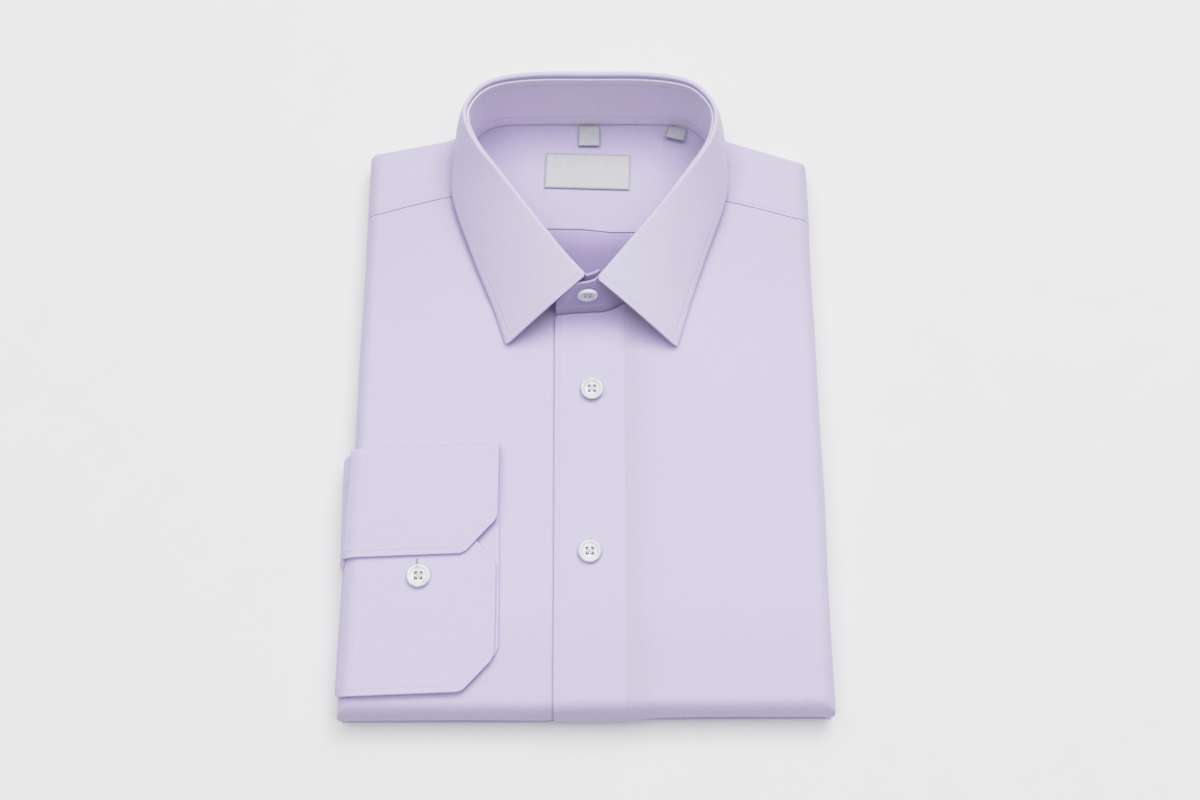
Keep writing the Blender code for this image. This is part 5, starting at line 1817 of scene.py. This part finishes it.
def cuff_surface(lift, settled):
    def place(x, y):
        here = side_lift(x, y, lift, settled) + creased(FRONT_CREASES, x, y) * CUFF_CREASE_SHARE
        return tuple(cuff_point(x, y, here + CUFF_CLOTH / 2))
    return place


STITCH_SINK = -0.02         # a stitch is pressed this far into the cloth
CUFF_STITCH_ROWS = (
    # name, x and y at the top, x and y at the foot, which end of the cuff
    ("outer_over", (-111.6, -38.5), (-111.9, -86.8), "over"),
    ("inner_over", (-107.2, -37.5), (-107.5, -87.2), "over"),
    ("outer_under", (-112.8, -90.5), (-113.4, -152.0), "under"),
    ("inner_under", (-105.8, -90.5), (-105.1, -152.6), "under"),
)
TWO_FACED = (
    # node, wall: pieces made from their middle, with stitches on both faces
    ("collar_stand", STAND_CLOTH),
    ("collar_leaf", COLLAR_CLOTH),
    ("cuff", CUFF_CLOTH),
    ("cuff_button_end", CUFF_CLOTH),
)


def make_cloth():
    """Every cloth piece by its node, and the rows of stitches on those that have some."""
    pieces, rows = {}, {}
    pieces["folded_layers"] = make_folded_layers()
    pieces["front_right"], _ = make_front_right()
    pieces["front_left"], _ = make_front_left()
    pieces["front_placket"], rows["front_placket"] = make_placket()
    pieces["yoke"], rows["yoke"] = make_yoke()
    (pieces["inner_yoke"], _), (pieces["back_panel"], _) = make_inside()
    pieces["collar_stand"], rows["collar_stand"] = make_stand()
    pieces["collar_leaf"], rows["collar_leaf"] = make_leaf()
    pieces["cuff"], rows["cuff"] = make_cuff_piece(
        "cuff", CUFF_ROWS, lambda lift: lift if lift < CUFF_PAST_FOLD else CUFF_SETTLED_OVER,
        smooth=(8, 9, 10, 11))
    pieces["cuff_button_end"], rows["cuff_button_end"] = make_cuff_piece(
        "cuff_button_end", BUTTON_END_ROWS, lambda lift: CUFF_SETTLED_UNDER)
    pieces["sleeve"], _ = make_sleeve()
    for row in LABEL_ROWS:
        pieces[row[0]], rows[row[0]] = make_label(*row)
    return pieces, rows


def add_camera():
    lens = bpy.data.cameras.new("camera")
    lens.lens, lens.sensor_width, lens.clip_end = 47.28, 36.0, 20.0
    camera = linked("camera", lens)
    camera.location = (0.00798, -0.30206, 0.75102)
    target = Vector((0.00798, 0.00137, 0.0))
    camera.rotation_euler = (target - camera.location).to_track_quat("-Z", "Y").to_euler()
    bpy.context.scene.camera = camera


def add_shirt():
    groups = weave_group(), pucker_group()
    lavender, back_painted_shade, leaf_painted_light, stand_painted_light_shade, ribbon = [woven_material(groups, *row) for row in WOVEN_ROWS]
    # the slits take a dark cloth of painted shade, and the labels' borders a dark thread of painted
    # shadow
    thread, slit_painted_shade, white_thread, label_border_painted_shadow = [thread_material(*row) for row in THREAD_ROWS]
    pearl = pearl_material()
    tree = stitch_tree()

    pieces, rows = make_cloth()
    # the back panel's cloth is darkened with painted shade, the stand's is lightened with painted
    # light and darkened at its front with painted shade, and the leaf's is lightened with painted
    # light
    own_cloth = {"back_panel": back_painted_shade, "collar_stand": stand_painted_light_shade, "collar_leaf": leaf_painted_light}
    for name, piece in pieces.items():
        is_label = name in LABEL_NAMES
        piece.data.materials.append(ribbon if is_label else own_cloth.get(name, lavender))
        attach(piece, "root")
        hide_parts(name)

    lines = {name: on_face(rows[name], STITCH_SINK) for name in ("front_placket", "yoke")}
    for name, wall in TWO_FACED:
        lines[name] = both_faces(rows[name], wall + 2 * STITCH_SINK)
    surfaces = {"over": cuff_surface(CUFF_LIFT_OVER + 0.2, CUFF_SETTLED_OVER),
                "under": cuff_surface(CUFF_LIFT_MIDDLE, CUFF_SETTLED_UNDER)}
    lines["cuff_end"] = [line_on(surfaces[end], top, foot, 1.5)
                         for _, top, foot, end in CUFF_STITCH_ROWS]
    extras = [(make_stitches(name + "_stitches", tree, thread, found), "cloth")
              for name, found in lines.items()]
    for name in LABEL_NAMES:
        # painted shadow: a dark thread border along each label's edges
        lines = on_face(rows[name], LABEL_CLOTH / 2)
        border = make_stitches(name + "_border", tree, label_border_painted_shadow, lines, BORDER)
        extras.append((border, "label"))
    slit, satin, bars = make_buttonholes(
        tree, thread, (placket_surface, placket_surface, surfaces["under"]))
    # painted shade in the slits
    slit.data.materials.append(slit_painted_shade)
    extras += [(slit, "cloth"), (satin, "cloth"), (bars, "cloth")]

    for name, place, facing, radius in button_places():
        button = make_button(name, place, facing, radius)
        button.data.materials.clear()
        button.data.materials.append(pearl)
        cotton = make_button_thread(name, place, facing, radius)
        cotton.data.materials.append(white_thread)
        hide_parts(name)
        extras += [(button, "button"), (cotton, "button")]
    for piece, slot in extras:
        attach(piece, "root")


def add_light(name, place, size, power):
    """A square soft light that faces the middle of the shirt."""
    lamp = bpy.data.lights.new(name, "AREA")
    lamp.size, lamp.energy = size, power
    item = linked(name, lamp)
    item.location = place
    item.rotation_euler = (-item.location).to_track_quat("-Z", "Y").to_euler()


FLOOR_HALF, FLOOR_BELOW = 8.0, 0.0001     # metres
ROOM_LIGHT = 0.3
# How bright a surface looks for the light it sends: straight at first, then with a soft shoulder
RESPONSE_ROWS = (
    # light, brightness
    (0.27, 0.27), (0.55, 0.55), (0.69, 0.655), (0.8, 0.712), (1.0, 0.795), (1.25, 0.87),
    (1.5, 0.93),
)


def add_studio():
    shape = bmesh.new()
    bmesh.ops.create_grid(shape, x_segments=2, y_segments=2, size=FLOOR_HALF)
    bmesh.ops.translate(shape, verts=shape.verts, vec=(0, 0, -FLOOR_BELOW))
    floor = new_object("floor", shape)
    floor.data.materials.append(floor_material())
    add_light("softbox", (0.5, 1.0, 1.75), 1.1, 13.5)
    add_light("overhead", (0.0, 0.5, 5.0), 6.9, 285.0)
    world = bpy.data.worlds.new("soft_room")
    world.use_nodes = True
    background = world.node_tree.nodes["Background"].inputs
    background["Color"].default_value = (1.0, 1.0, 1.0, 1.0)
    background["Strength"].default_value = ROOM_LIGHT
    bpy.context.scene.world = world
    settings = bpy.context.scene.view_settings
    settings.view_transform = "Standard"
    settings.use_curve_mapping = True
    curves = settings.curve_mapping
    most, brightest = RESPONSE_ROWS[-1]
    curves.white_level = (most, most, most)
    curve = curves.curves[3]
    curve.points[-1].location = (1.0, brightest)
    for light, brightness in RESPONSE_ROWS[:-1]:
        curve.points.new(light / most, brightness)
    curves.update()


add_camera()
add_shirt()
add_studio()
